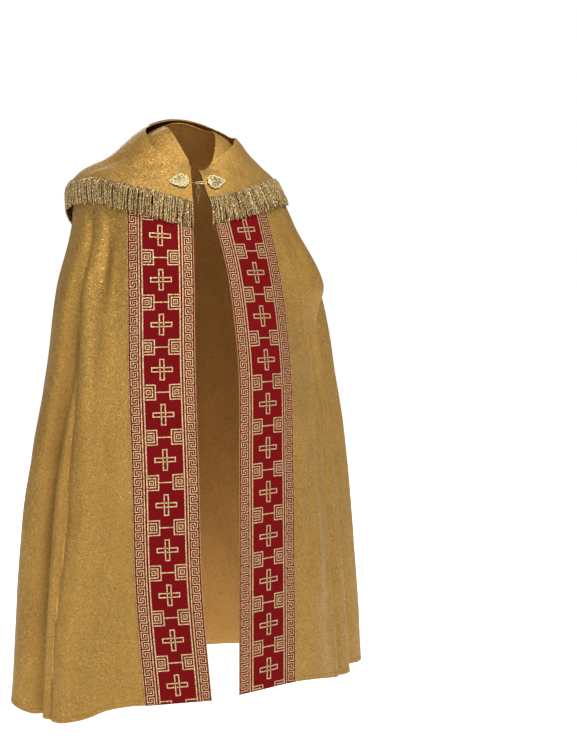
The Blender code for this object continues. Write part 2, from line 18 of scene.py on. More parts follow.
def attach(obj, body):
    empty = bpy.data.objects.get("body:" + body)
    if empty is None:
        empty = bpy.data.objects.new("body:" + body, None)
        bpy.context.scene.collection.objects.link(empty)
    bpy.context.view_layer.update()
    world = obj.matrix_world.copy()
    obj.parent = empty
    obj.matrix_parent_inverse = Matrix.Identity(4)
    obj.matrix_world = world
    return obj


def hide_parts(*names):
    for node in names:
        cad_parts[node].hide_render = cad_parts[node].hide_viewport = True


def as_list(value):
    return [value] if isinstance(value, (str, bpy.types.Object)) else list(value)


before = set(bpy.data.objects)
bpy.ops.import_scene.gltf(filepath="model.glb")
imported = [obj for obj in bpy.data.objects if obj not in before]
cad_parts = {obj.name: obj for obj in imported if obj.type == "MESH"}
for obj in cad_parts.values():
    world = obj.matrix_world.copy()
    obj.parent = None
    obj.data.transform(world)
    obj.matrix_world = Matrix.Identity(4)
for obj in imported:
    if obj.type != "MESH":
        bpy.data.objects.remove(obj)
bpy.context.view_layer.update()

# ---------------------------------------------------------------- sizes, metres
BODY = "cope"
CLOTH = 0.0016
LINING_SET = 0.0026  # how far the cloth's coarse inner face lies behind the outer one
SEAM = 0.0004
BAND = 0.0014
BAND_WIDTH = 0.147
NARROW_BAND = 0.3  # at most this share of a row
BAND_START = 0.085  # share of the cloak
STRIP_GAP = 0.0009
STRIP_THICK = 0.0018
STRIP_HEIGHT = 0.009
FRINGE_DROP = 0.052
TIP_CLEARANCE = 0.006
SIDE_RUN = 1.40  # length of the cloak from neck to hem
DENSE = 1201  # samples of a row, for its length
FULL_TURN = 360.0
BACK = 180.0
FADE_SPAN = 0.15  # share over which a fold dies out
DEEPEST_HOOD = 0.6  # share that the hood's edge never reaches
HALVINGS = 30
NEAR_FRONT = 5.0  # degrees
ROUNDS = 6
LIFT_START = 0.35
NECK_GAP = 0.0018
MILLIMETRES = 1000  # in a metre


def table(fields, *rows):
    """Rows with named fields."""
    made = namedtuple("Row", fields)
    return [made(*row) for row in rows]


# ---------------------------------------------------------------- the solids' own tables
BODY_LEVELS = table(
    "front_z right_z left_z back_z right left front back middle open_right open_left",
    (-0.058, 0.047, 0.041, 0.064, 0.054, 0.058, 0.090, 0.064, 0.000, -0.027, -0.010),
    (-0.064, 0.025, 0.022, 0.055, 0.098, 0.096, 0.100, 0.100, 0.008, -0.030, -0.010),
    (-0.074, 0.000, -0.008, 0.020, 0.133, 0.125, 0.112, 0.140, 0.018, -0.034, -0.009),
    (-0.094, -0.037, -0.038, -0.038, 0.181, 0.164, 0.124, 0.174, 0.028, -0.037, -0.007),
    (-0.120, -0.075, -0.072, -0.097, 0.236, 0.207, 0.136, 0.200, 0.036, -0.040, -0.002),
    (-0.150, -0.115, -0.113, -0.155, 0.254, 0.242, 0.148, 0.216, 0.042, -0.043, 0.004),
    (-0.195, -0.176, -0.176, -0.220, 0.262, 0.269, 0.160, 0.227, 0.044, -0.046, 0.012),
    (-0.300, -0.320, -0.310, -0.340, 0.300, 0.304, 0.180, 0.240, 0.042, -0.051, 0.030),
    (-0.470, -0.500, -0.480, -0.510, 0.326, 0.356, 0.200, 0.256, 0.040, -0.057, 0.043),
    (-0.710, -0.760, -0.730, -0.750, 0.374, 0.397, 0.222, 0.280, 0.040, -0.058, 0.037),
    (-0.950, -1.005, -0.980, -1.000, 0.396, 0.421, 0.242, 0.302, 0.040, -0.059, 0.029),
    (-1.200, -1.282, -1.245, -1.272, 0.418, 0.439, 0.265, 0.328, 0.040, -0.046, 0.019),
)
FOLDS = table(
    "top hem width depth lean start full end",
    (60, 61, 7.0, 0.012, 0.006, 0.20, 0.70, 2.0),
    (68, 71, 5.0, -0.034, 0.000, 0.13, 0.60, 2.0),
    (52, 52, 4.5, -0.009, 0.000, 0.13, 0.19, 0.40),
    (82, 84, 7.0, 0.012, 0.000, 0.25, 0.80, 2.0),
    (96, 99, 5.0, -0.012, 0.000, 0.30, 0.90, 2.0),
    (126, 121, 5.0, -0.030, 0.000, 0.20, 0.60, 2.0),
    (136, 131, 7.0, 0.012, 0.000, 0.22, 0.70, 2.0),
    (158, 156, 10.0, 0.012, 0.000, 0.28, 0.60, 2.0),
    (177, 176, 8.0, -0.018, 0.000, 0.28, 0.55, 2.0),
    (198, 199, 10.0, 0.012, 0.000, 0.28, 0.60, 2.0),
    (219, 221, 7.0, -0.014, 0.000, 0.30, 0.80, 2.0),
    (241, 243, 7.0, 0.012, 0.000, 0.30, 0.80, 2.0),
    (266, 267, 7.0, 0.036, 0.000, 0.18, 0.30, 2.0),
    (268, 268, 6.0, 0.016, 0.000, 0.20, 0.28, 0.50),
    (282, 284, 6.0, -0.070, 0.000, 0.27, 0.40, 2.0),
    (306, 306, 15.0, -0.030, 0.000, 0.34, 0.50, 2.0),
)
ELBOW = {"angle": 300.0, "width": 14.0, "share": 0.327, "above": 0.08, "below": 0.045, "out": 0.044}
# How far the hem hangs below (+) or above (-) its level, by angle.
HEM_SHAPE = table(
    "angle drop",
    (0, 0.028), (12, 0.022), (25, 0.014), (32, 0.008), (40, 0.009), (46, 0.018), (52, 0.021),
    (57, 0.017), (62, 0.008), (68, 0.002), (75, 0.000), (80, -0.012), (86, -0.020),
    (92, -0.016), (102, -0.006), (115, 0.000), (245, 0.000), (258, 0.010), (270, 0.018),
    (282, 0.014), (294, 0.018), (306, 0.020), (316, 0.016), (328, 0.008), (340, 0.007),
    (350, 0.014), (360, 0.022),
)
HEM_SHAPE_START = 0.15  # share from which the cloth takes it up
# Height of the hood's lower edge, by angle.
HOOD_EDGE = table(
    "angle z",
    (0, -0.150), (22, -0.124), (40, -0.108), (52, -0.098), (75, -0.090), (92, -0.097),
    (115, -0.122), (138, -0.170), (158, -0.220), (170, -0.254), (180, -0.284), (190, -0.254),
    (202, -0.220), (222, -0.164), (245, -0.118), (268, -0.090), (285, -0.084), (315, -0.092),
    (330, -0.104), (345, -0.118), (360, -0.128),
)
# How far the hood stands off the cloak, from its neck seam to its edge.
HOOD_LIFT = table(
    "way front right left back",
    (0.00, 0.0000, 0.013, 0.015, 0.005),
    (0.12, 0.0006, 0.012, 0.016, 0.011),
    (0.26, 0.0012, 0.009, 0.014, 0.014),
    (0.45, 0.0020, 0.007, 0.011, 0.009),
    (0.70, 0.0020, 0.010, 0.009, 0.006),
    (1.00, 0.0016, 0.020, 0.010, 0.005),
)
# Share of the cloak at which the hood begins: it rolls off the neck, widest at the sides.
HOOD_RIM = table(
    "angle share",
    (0, 0.000), (10, 0.008), (20, 0.020), (30, 0.034), (40, 0.045), (50, 0.052), (60, 0.050),
    (70, 0.042), (80, 0.036), (90, 0.030), (110, 0.025), (130, 0.018), (180, 0.006),
    (225, 0.016), (250, 0.031), (262, 0.040), (275, 0.041), (290, 0.036), (305, 0.033),
    (320, 0.020), (330, 0.007), (342, 0.000), (360, 0.000),
)

# ---------------------------------------------------------------- creases placed one by one
# From one end to the other: degrees round the wearer and share of the way down. Width is
# the half width and depth is out (+) or in (-), both in millimetres.
CREASE = "angle share to_angle to_share width depth"
CLOAK_CREASES = table(
    CREASE,
    # right front panel, beside the band
    (44, 0.20, 43, 0.46, 13, -3.0),
    (50, 0.28, 47, 0.72, 22, 3.5),
    (41, 0.62, 50, 0.95, 16, -2.2),
    (48, 0.50, 39, 0.66, 11, -2.0),
    (52, 0.56, 42, 0.74, 12, 2.2),
    (56, 0.70, 47, 0.96, 18, -2.4),
    # right side
    (75, 0.20, 77, 0.60, 13, 4.0),
    (90, 0.24, 90, 0.70, 16, -4.0),
    (86, 0.60, 92, 0.97, 14, 3.0),
    (106, 0.26, 108, 0.92, 18, -5.0),
    (114, 0.36, 112, 0.98, 16, 4.0),
    # back, right half
    (148, 0.30, 147, 0.94, 20, -4.0),
    (140, 0.62, 152, 0.96, 13, 3.0),
    (136, 0.72, 150, 0.99, 11, -2.6),
    (167, 0.34, 166, 0.90, 22, 3.4),
    (160, 0.55, 170, 0.80, 15, -2.2),
    # back, left half
    (187, 0.36, 189, 0.98, 22, 3.6),
    (194, 0.48, 186, 0.72, 14, -2.4),
    (208, 0.32, 209, 0.90, 20, -4.2),
    (204, 0.60, 216, 0.88, 13, 2.4),
    (230, 0.30, 231, 0.96, 17, 4.2),
    (252, 0.32, 253, 0.97, 15, -4.6),
    # left front panel, from the elbow down
    (298, 0.20, 302, 0.31, 14, 2.6),
    (312, 0.18, 308, 0.33, 11, -2.4),
    (322, 0.16, 316, 0.36, 15, 2.6),
    (313, 0.76, 321, 0.99, 14, -2.6),
    (305, 0.40, 313, 0.50, 9, 1.8),
    # far side of the elbow's fold
    (272, 0.34, 273, 0.96, 10, -3.0),
    (262, 0.30, 261, 0.90, 12, 3.4),
)
# Long folds that bend on their way down: each passes through these places, by degrees and share.
CLOAK_FOLDS = table(
    "width depth path",
    (
        10, -10.5,
        ((73, 0.15), (66.5, 0.28), (64.8, 0.41), (59.3, 0.53), (57, 0.69), (60.3, 0.86), (61, 1.1)),
    ),
    (17, 7.5, ((65, 0.22), (59.3, 0.37), (54, 0.53), (50.5, 0.69), (54.5, 0.86), (55.5, 1.1))),
    (26, 4.0, ((82, 0.25), (78, 0.50), (74, 0.75), (72, 1.1))),
    (9, -5.5, ((57, 0.13), (56.8, 0.21), (54.4, 0.27), (49.5, 0.36))),
    (10, 3.0, ((51, 0.13), (50, 0.25), (45, 0.40))),
    (12, -7.5, ((306, 0.28), (304, 0.36), (298, 0.53), (304, 0.70), (305, 1.1))),
    (14, 5.5, ((311, 0.30), (310, 0.38), (305, 0.53), (310, 0.70), (312, 1.1))),
    (14, 4.0, ((317, 0.30), (314, 0.50), (320, 0.70), (322, 0.90))),
    (11, -4.0, ((320, 0.34), (319, 0.53), (325, 0.70), (326, 0.88))),
)
# The same on the hood, by degrees and by share of the way from its neck seam to its edge.
HOOD_CREASES = table(
    CREASE,
    (34, 0.10, 62, 0.66, 12, -1.6),
    (46, 0.12, 78, 0.70, 13, 1.3),
    (22, 0.06, 44, 0.60, 10, 0.9),
    (68, 0.30, 84, 0.98, 15, -4.4),
    (84, 0.20, 92, 0.96, 14, 1.5),
    (100, 0.16, 112, 0.92, 16, -1.7),
    (122, 0.14, 130, 0.90, 16, 1.4),
    (140, 0.20, 148, 0.84, 13, -1.2),
    (214, 0.20, 208, 0.86, 13, -1.2),
    (236, 0.14, 228, 0.90, 16, 1.4),
    (258, 0.16, 248, 0.92, 16, -1.6),
    (276, 0.16, 268, 0.96, 13, 1.5),
    (292, 0.12, 288, 0.96, 14, -2.0),
    (308, 0.10, 302, 0.92, 12, 1.4),
    (328, 0.10, 316, 0.80, 11, -1.7),
    (340, 0.08, 330, 0.72, 9, 1.0),
)
# Slow unevenness of a worn cloth: waves round, waves down, phase, depth in millimetres.
SWELLS = table(
    "turns downs phase depth",
    (7, 2.3, 0.4, 1.3),
    (11, 3.7, 2.1, 1.0),
    (17, -5.1, 4.0, 0.8),
    (26, 8.3, 1.2, 0.5),
)

# ---------------------------------------------------------------- the woven pattern
# All in threads: the band is mirrored about its middle and repeats along its length.
HALF_THREADS = 29.8
REPEAT_THREADS = 40
REPEAT = 0.0990
KEYS_A_REPEAT = 5
Block = namedtuple("Block", "left low wide tall")
SELVEDGE = Block(0.0, 0, 0.45, REPEAT_THREADS)
LINES = (Block(9.95, 0, 1.0, REPEAT_THREADS), Block(12.6, 0, 1.1, REPEAT_THREADS))
KEY_LEFT = 1.75
KEY_THIN = 0.12
KEY = [Block(*row) for row in (
    (0, 0, 7, 1), (6, 1, 1, 5), (0, 2, 5, 1), (0, 3, 1, 5), (4, 3, 1, 2), (2, 4, 1, 2),
    (2, 6, 5, 1),
)]
SQUARES = [Block(*row) for row in (
    (13.95, 13.0, 9.9, 1.0), (13.95, 26.0, 9.9, 1.0), (22.85, 14.0, 1.0, 12.0),
    (13.95, 15.5, 7.3, 0.9), (13.95, 23.6, 7.3, 0.9), (20.35, 16.4, 0.9, 7.2),
    (15.0, 17.8, 4.3, 0.8), (15.0, 21.4, 4.3, 0.8), (15.0, 18.6, 0.8, 2.8),
    (18.5, 18.6, 0.8, 2.8), (16.75, 19.55, 0.9, 0.9), (23.85, 19.5, 5.95, 1.0),
)]
CROSS_REACH = 9.6
CROSS_ARM = 1.8  # from the middle to the centre of each long line
CROSS_LINE = 1.0
CROSS_PART = 0.55  # gap where one line passes under another
THREAD_RISE = 0.00022
THREAD_SINK = 0.00010
PATTERN_MARGIN = 0.4  # of a thread, left free at a band's ends
TOUCH = 1e-4


# ---------------------------------------------------------------- small maths
def smooth(x):
    """Eased 0 to 1."""
    x = np.clip(x, 0.0, 1.0)
    return x * x * (3.0 - 2.0 * x)


def spline(knots, values, at):
    """Cubic through the values, with slopes from each knot's neighbours."""
    knots = np.asarray(knots, float)
    values = np.asarray(values, float)
    slopes = np.gradient(values, knots)
    at = np.clip(at, knots[0], knots[-1])
    i = np.clip(np.searchsorted(knots, at, side="right") - 1, 0, len(knots) - 2)
    span = knots[i + 1] - knots[i]
    t = (at - knots[i]) / span
    a = 2 * t**3 - 3 * t**2 + 1
    b = t**3 - 2 * t**2 + t
    c = -2 * t**3 + 3 * t**2
    d = t**3 - t**2
    return a * values[i] + b * span * slopes[i] + c * values[i + 1] + d * span * slopes[i + 1]


def column(rows, name):
    return [getattr(row, name) for row in rows]


def read(rows, name, at):
    """One of a table's columns, along its first one."""
    return spline(column(rows, rows[0]._fields[0]), column(rows, name), at)


def read_straight(rows, at):
    """A table's second column along its first one, in straight stretches."""
    return np.interp(at, *zip(*rows))


def unit(vectors):
    return vectors / np.linalg.norm(vectors, axis=-1, keepdims=True)


def grid_normals(grid):
    """Outward unit normals of a grid, rows down and columns from the right front edge
    round the back."""
    return unit(np.cross(np.gradient(grid, axis=1), np.gradient(grid, axis=0)))


def run_along(points):
    """Length run from the first point to each point."""
    steps = np.linalg.norm(np.diff(points, axis=0), axis=1)
    return np.concatenate([[0.0], np.cumsum(steps)])


def along(run, values, at):
    """Values at places along a run, column by column."""
    return np.stack([np.interp(at, run, values[:, k]) for k in range(values.shape[1])], axis=-1)


# ---------------------------------------------------------------- the cloak's surface
def level_shares():
    run = run_along(np.array([(row.right, row.right_z) for row in BODY_LEVELS]))
    return run / run[-1]


SHARES = level_shares()


def level_at(share):
    first = BODY_LEVELS[0]
    return first._make(spline(SHARES, column(BODY_LEVELS, f), share) for f in first._fields)


def fold_strength(fold, share):
    grow = smooth((share - fold.start) / (fold.full - fold.start))
    fade = 1.0 - smooth((share - fold.end + FADE_SPAN) / FADE_SPAN)
    return grow * fade


def elbow_out(share, angle):
    spread = np.where(share < ELBOW["share"], ELBOW["above"], ELBOW["below"])
    down = np.exp(-(((share - ELBOW["share"]) / spread) ** 2))
    return ELBOW["out"] * down * np.exp(-(((angle - ELBOW["angle"]) / ELBOW["width"]) ** 2))


def hem_drop(share, angle):
    full = read(HEM_SHAPE, "drop", angle)
    return full * np.clip((share - HEM_SHAPE_START) / (1.0 - HEM_SHAPE_START), 0.0, 1.0)


def cloak(share, angle):
    """Points of the cloak's outer face, for paired shares and angles in degrees."""
    share, angle = np.broadcast_arrays(np.asarray(share, float), np.asarray(angle, float))
    lv = level_at(share)
    t = np.radians(angle)
    on_right = np.sin(t) > 0
    ahead = np.cos(t) > 0
    half = np.where(on_right, lv.right, lv.left)
    deep = np.where(ahead, lv.front + lv.middle, lv.back - lv.middle)
    plan = np.stack([-half * np.sin(t), lv.middle - deep * np.cos(t)], axis=-1)
    side_z = np.where(on_right, lv.right_z, lv.left_z)
    end_z = np.where(ahead, lv.front_z, lv.back_z)
    z = side_z * np.sin(t) ** 2 + end_z * np.cos(t) ** 2 - hem_drop(share, angle)
    round_way = unit(np.stack([-half * np.cos(t), deep * np.sin(t)], axis=-1))
    out = np.stack([-round_way[..., 1], round_way[..., 0]], axis=-1)
    push = elbow_out(share, angle)
    slide = np.zeros_like(push)
    for fold in FOLDS:
        centre = fold.top + (fold.hem - fold.top) * share
        bump = fold_strength(fold, share) * np.exp(-(((angle - centre) / fold.width) ** 2))
        push = push + fold.depth * bump
        slide = slide + fold.lean * bump
    plan = plan + out * push[..., None] + round_way * slide[..., None]
    return np.concatenate([plan, z[..., None]], axis=-1)


def cloak_normals(share, angle, step_share=0.004, step_angle=0.8):
    across = cloak(share, angle + step_angle) - cloak(share, angle - step_angle)
    down = cloak(share + step_share, angle) - cloak(np.maximum(share - step_share, 0.0), angle)
    return unit(np.cross(across, down))


def edge_angles(share):
    """Angles of the two front edges at one level."""
    lv = level_at(share)
    first = np.degrees(np.arcsin(-lv.open_right / lv.right))
    last = FULL_TURN - np.degrees(np.arcsin(lv.open_left / lv.left))
    return first, last


def share_at_height(angle, z):
    """Where the cloak's surface comes down to a height, along each angle."""
    low = np.zeros_like(angle)
    high = np.full_like(angle, DEEPEST_HOOD)
    for _ in range(HALVINGS):
        mid = (low + high) / 2
        above = cloak(mid, angle)[..., 2] > z
        low = np.where(above, mid, low)
        high = np.where(above, high, mid)
    return (low + high) / 2


# ---------------------------------------------------------------- the hood's surface
def hood_lift(way, angle):
    t = np.radians(angle)
    front, right, left, back = (read(HOOD_LIFT, f, way) for f in ("front", "right", "left", "back"))
    end = np.where(np.cos(t) > 0, front, back)
    side = np.where(np.sin(t) > 0, right, left)
    free = end * np.cos(t) ** 2 + side * np.sin(t) ** 2
    return NECK_GAP + (BAND + 3 * SEAM - NECK_GAP) * smooth(way / LIFT_START) + free


# One a degree, with a few to spare at the front.
TABLE_ANGLES = np.arange(-NEAR_FRONT, FULL_TURN + NEAR_FRONT + 1.0)
EDGE_SHARES = share_at_height(TABLE_ANGLES, read(HOOD_EDGE, "z", TABLE_ANGLES))


def hood_share(way, angle):
    rim = read(HOOD_RIM, "share", angle)
    return rim + way * (np.interp(angle, TABLE_ANGLES, EDGE_SHARES) - rim)


def hood_face(way, angle):
    """Points of the hood's inner face, `way` running from its neck seam to its edge."""
    way, angle = np.broadcast_arrays(np.asarray(way, float), np.asarray(angle, float))
    share = hood_share(way, angle)
    return cloak(share, angle) + hood_lift(way, angle)[..., None] * cloak_normals(share, angle)


def hood_limits(way):
    ends = []
    for side, angle in enumerate((NEAR_FRONT, FULL_TURN - NEAR_FRONT)):
        for _ in range(ROUNDS):
            angle = float(edge_angles(hood_share(way, angle))[side])
        ends.append(angle)
    return ends


# ---------------------------------------------------------------- soft detail
TAPER = 0.35  # of a crease's length, at either end
CREASE_ENDS = 0.15  # what is left of its depth there
FOLD_GROW = 0.12  # share over which a long fold begins
FOLD_FADE = 0.10
SWELL_BEND = 1.7
PUCKER_EDGE = 0.004
# What makes the gathers uneven: strength, pace and phase of each slow wave.
PUCKER_UNEVEN = ((0.35, 0.63, 0.0), (0.25, 1.71, 1.0))
PUCKER_WANDER, PUCKER_PACE = 1.3, 0.9


def crease_height(creases, share, angle, length, girth):
    """Height of the creases at each place. Distances are taken on the cloth:
    `length` metres from top to bottom and `girth` metres for each degree."""
    height = np.zeros(share.shape)
    for c in creases:
        way = np.array([(c.to_angle - c.angle) * girth.mean(), (c.to_share - c.share) * length])
        x = (angle - c.angle) * girth
        y = (share - c.share) * length
        t = np.clip((x * way[0] + y * way[1]) / (way @ way), 0.0, 1.0)
        off = np.hypot(x - t * way[0], y - t * way[1]) / (c.width / MILLIMETRES)
        taper = smooth(t / TAPER) * smooth((1.0 - t) / TAPER)
        depth = c.depth / MILLIMETRES * (CREASE_ENDS + (1.0 - CREASE_ENDS) * taper)
        height += depth * np.exp(-(off**2))
    return height


def fold_height(share, angle, girth):
    height = np.zeros(share.shape)
    for f in CLOAK_FOLDS:
        angles, shares = np.array(f.path).T
        off = (angle - np.interp(share, shares, angles)) * girth / (f.width / MILLIMETRES)
        fade = smooth((share - shares[0]) / FOLD_GROW) * smooth((shares[-1] - share) / FOLD_FADE)
        height += f.depth / MILLIMETRES * np.exp(-(off**2)) * fade
    return height


def swell_height(share, angle):
    t = np.radians(angle)
    height = np.zeros(share.shape)
    for s in SWELLS:
        down = s.downs * share * math.pi
        wave = np.sin(s.turns * t + s.phase + SWELL_BEND * np.sin(down))
        height += s.depth / MILLIMETRES * wave * np.cos(down + s.phase)
    return height


def pucker(from_seam, down, pitch, reach, depth):
    """Small ripples that a seam gathers, dying out away from it."""
    turns = down / pitch
    uneven = 1.0 + sum(size * np.sin(turns * pace + phase) for size, pace, phase in PUCKER_UNEVEN)
    ripple = np.sin(2 * math.pi * turns + PUCKER_WANDER * np.sin(turns * PUCKER_PACE))
    inside = smooth((from_seam + PUCKER_EDGE) / (2 * PUCKER_EDGE))
    return depth * uneven * ripple * inside * np.exp(-np.maximum(from_seam, 0.0) / reach)


# ---------------------------------------------------------------- making pieces
SHARP = math.radians(50)  # a wall's corners
PATTERN_SHARP = math.radians(40)
LEAF_SHARP = math.radians(45)


def new_mesh(name, points, quads, tris=()):
    quads = np.asarray(quads, np.int32).reshape(-1, 4)
    tris = np.asarray(tris, np.int32).reshape(-1, 3)
    mesh = bpy.data.meshes.new(name)
    points = np.asarray(points, np.float32).reshape(-1, 3)
    mesh.vertices.add(len(points))
    mesh.vertices.foreach_set("co", points.ravel())
    loops = np.concatenate([quads.ravel(), tris.ravel()])
    mesh.loops.add(len(loops))
    mesh.loops.foreach_set("vertex_index", loops)
    starts = np.concatenate(
        [np.arange(len(quads)) * 4, len(quads) * 4 + np.arange(len(tris)) * 3]
    )
    mesh.polygons.add(len(starts))
    mesh.polygons.foreach_set("loop_start", starts.astype(np.int32))
    mesh.update(calc_edges=True)
    mesh.validate()
    mesh.shade_smooth()
    return mesh


def add_uv(mesh, per_vertex):
    """UV in metres on the cloth, given for each vertex."""
    layer = mesh.uv_layers.new(name="ClothMetres")
    index = np.zeros(len(mesh.loops), np.int32)
    mesh.loops.foreach_get("vertex_index", index)
    layer.data.foreach_set("uv", per_vertex[index].astype(np.float32).ravel())


def add_tint(mesh, values):
    attribute = mesh.attributes.new("tint", "FLOAT", "POINT")
    attribute.data.foreach_set("value", np.asarray(values, np.float32))


def add_object(name, data):
    obj = bpy.data.objects.new(name, data)
    bpy.context.scene.collection.objects.link(obj)
    return obj


def add_piece(name, mesh, materials, body=BODY, replaces=()):
    obj = add_object(name, mesh)
    for made in materials:
        obj.data.materials.append(made)
    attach(obj, body)
    if replaces:
        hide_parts(*replaces)
    return obj


def grid_quads(rows, columns, first=0):
    r, c = np.meshgrid(np.arange(rows - 1), np.arange(columns - 1), indexing="ij")
    a = (first + r * columns + c).ravel()
    return np.stack([a, a + 1, a + columns + 1, a + columns], axis=-1)


def border(rows, columns, step):
    """Indices round a grid's edge, at every `step` points."""
    top = [(0, c) for c in range(0, columns - 1, step)]
    right = [(r, columns - 1) for r in range(0, rows - 1, step)]
    bottom = [(rows - 1, c) for c in range(columns - 1, 0, -step)]
    left = [(r, 0) for r in range(rows - 1, 0, -step)]
    return top + right + bottom + left


def shell(name, outer, inner, uv, materials, step, replaces):
    """A closed cloth from a fine outer grid and an inner grid with every `step` of its
    points. The inner face takes the second material."""
    rows, columns = outer.shape[:2]
    in_columns = inner.shape[1]
    behind = rows * columns
    outer_quads = grid_quads(rows, columns)
    inner_quads = grid_quads(inner.shape[0], in_columns, behind)[:, ::-1]
    quads, tris = [], []
    ring = border(rows, columns, step)
    for (r, c), (r2, c2) in zip(ring, ring[1:] + ring[:1]):
        outside = [
            (r + (r2 - r) * k // step) * columns + c + (c2 - c) * k // step for k in range(step + 1)
        ]
        low = behind + r // step * in_columns + c // step
        high = behind + r2 // step * in_columns + c2 // step
        quads.append((outside[1], outside[0], low, high))
        for a, b in zip(outside[1:], outside[2:]):
            tris.append((b, a, high))
    faces = np.concatenate([outer_quads, np.array(quads), inner_quads])
    points = np.concatenate([outer.reshape(-1, 3), inner.reshape(-1, 3)])
    mesh = new_mesh(name, points, faces, tris)
    inner_uv = uv[::step, ::step]
    add_uv(mesh, np.concatenate([uv.reshape(-1, 2), inner_uv.reshape(-1, 2)]))
    which = np.zeros(len(mesh.polygons), np.int32)
    start = len(outer_quads) + len(quads)
    which[start : start + len(inner_quads)] = 1
    mesh.polygons.foreach_set("material_index", which)
    mesh.set_sharp_from_angle(angle=SHARP)
    return add_piece(name, mesh, materials, replaces=replaces)


def tube(points, radius, normal, sides, closed=False):
    """Points and quads of a round wire along a path. `radius` may vary along it."""
    points = np.asarray(points, float)
    count = len(points)
    radius = np.broadcast_to(np.asarray(radius, float), (count,))
    ahead = np.roll(points, -1, 0) - np.roll(points, 1, 0)
    if not closed:
        ahead = np.gradient(points, axis=0)
    normal = np.broadcast_to(np.asarray(normal, float), points.shape)
    side = unit(np.cross(ahead, normal))
    up = unit(np.cross(side, ahead))
    turn = 2 * math.pi * np.arange(sides) / sides
    ring = np.cos(turn)[None, :, None] * side[:, None] + np.sin(turn)[None, :, None] * up[:, None]
    rings = points[:, None] + ring * radius[:, None, None]
    quads = []
    for k in range(count if closed else count - 1):
        for j in range(sides):
            a, b = k * sides + j, k * sides + (j + 1) % sides
            c = (k + 1) % count * sides
            quads.append((b, a, c + j, c + (j + 1) % sides))
    return rings.reshape(-1, 3), quads


def joined_mesh(name, parts):
    """One mesh of (points, quads) pairs."""
    points, quads, first = [], [], 0
    for p, q in parts:
        points.append(p)
        quads.append(np.asarray(q).reshape(-1, 4) + first)
        first += len(p)
    return new_mesh(name, np.concatenate(points), np.concatenate(quads))


# ---------------------------------------------------------------- material nodes
class Nodes:
    """Short calls for building one material's nodes."""

    def __init__(self, name):
        self.made = bpy.data.materials.new(name)
        self.made.use_nodes = True
        self.tree = self.made.node_tree
        self.shader = self.tree.nodes["Principled BSDF"]

    def feed(self, socket, value):
        """Links an output to a socket, or sets its value. A tuple is a colour, a list a vector."""
        if isinstance(value, bpy.types.NodeSocket):
            self.tree.links.new(value, socket)
        elif isinstance(value, tuple):
            socket.default_value = (*value, 1.0)
        else:
            socket.default_value = value

    def add(self, kind, inputs=(), **values):
        node = self.tree.nodes.new(kind)
        for key, value in values.items():
            setattr(node, key, value)
        for key, value in dict(inputs).items():
            self.feed(node.inputs[key], value)
        return node

    def place(self, coordinate):
        return self.add("ShaderNodeTexCoord").outputs[coordinate]

    def noise(self, vector, scale, detail=2.0, roughness=0.5):
        inputs = {"Vector": vector, "Scale": scale, "Detail": detail, "Roughness": roughness}
        return self.add("ShaderNodeTexNoise", inputs).outputs["Fac"]

    def cells(self, vector, scale):
        """A random colour for each small cell, and its three channels."""
        colour = self.add("ShaderNodeTexVoronoi", {"Vector": vector, "Scale": scale}).outputs["Color"]
        return colour, self.add("ShaderNodeSeparateColor", {0: colour}).outputs

    def wave(self, vector, scale, direction, distortion):
        inputs = {"Vector": vector, "Scale": scale, "Distortion": distortion}
        return self.add("ShaderNodeTexWave", inputs, bands_direction=direction).outputs["Fac"]

    def ramp(self, fac, *stops):
        node = self.add("ShaderNodeValToRGB", {"Fac": fac})
        elements = node.color_ramp.elements
        while len(elements) < len(stops):
            elements.new(0.5)
        for element, (at, colour) in zip(elements, stops):
            element.position = at
            element.color = (*colour, 1.0)
        return node.outputs["Color"]

    def multiply(self, fac, a, b):
        inputs = {0: fac, 6: a, 7: b}
        return self.add("ShaderNodeMix", inputs, data_type="RGBA", blend_type="MULTIPLY").outputs[2]

    def math(self, operation, *values):
        return self.add("ShaderNodeMath", enumerate(values), operation=operation).outputs[0]

    def blend(self, a, b, share):
        """`share` of a and the rest of b."""
        return self.math("MULTIPLY_ADD", a, share, self.math("MULTIPLY", b, 1.0 - share))

    def between(self, fac, low, high):
        """fac 0 to 1 carried to low to high."""
        return self.math("MULTIPLY_ADD", fac, high - low, low)

    def vector(self, operation, inputs):
        return self.add("ShaderNodeVectorMath", inputs, operation=operation).outputs[0]

    def bump(self, height, distance, strength, **normal):
        inputs = {"Height": height, "Distance": distance, "Strength": strength, **normal}
        return self.add("ShaderNodeBump", inputs).outputs["Normal"]

    def tilted(self, cells, amount):
        """The surface's normal, leaned a little another way in each cell."""
        normal = self.add("ShaderNodeNewGeometry").outputs["Normal"]
        centred = self.vector("SUBTRACT", {0: cells, 1: [0.5, 0.5, 0.5]})
        leaned = self.vector("ADD", {0: normal, 1: self.vector("SCALE", {0: centred, "Scale": amount})})
        return self.vector("NORMALIZE", {0: leaned})

    def set(self, **sockets):
        for key, value in sockets.items():
            self.feed(self.shader.inputs[key.replace("_", " ")], value)


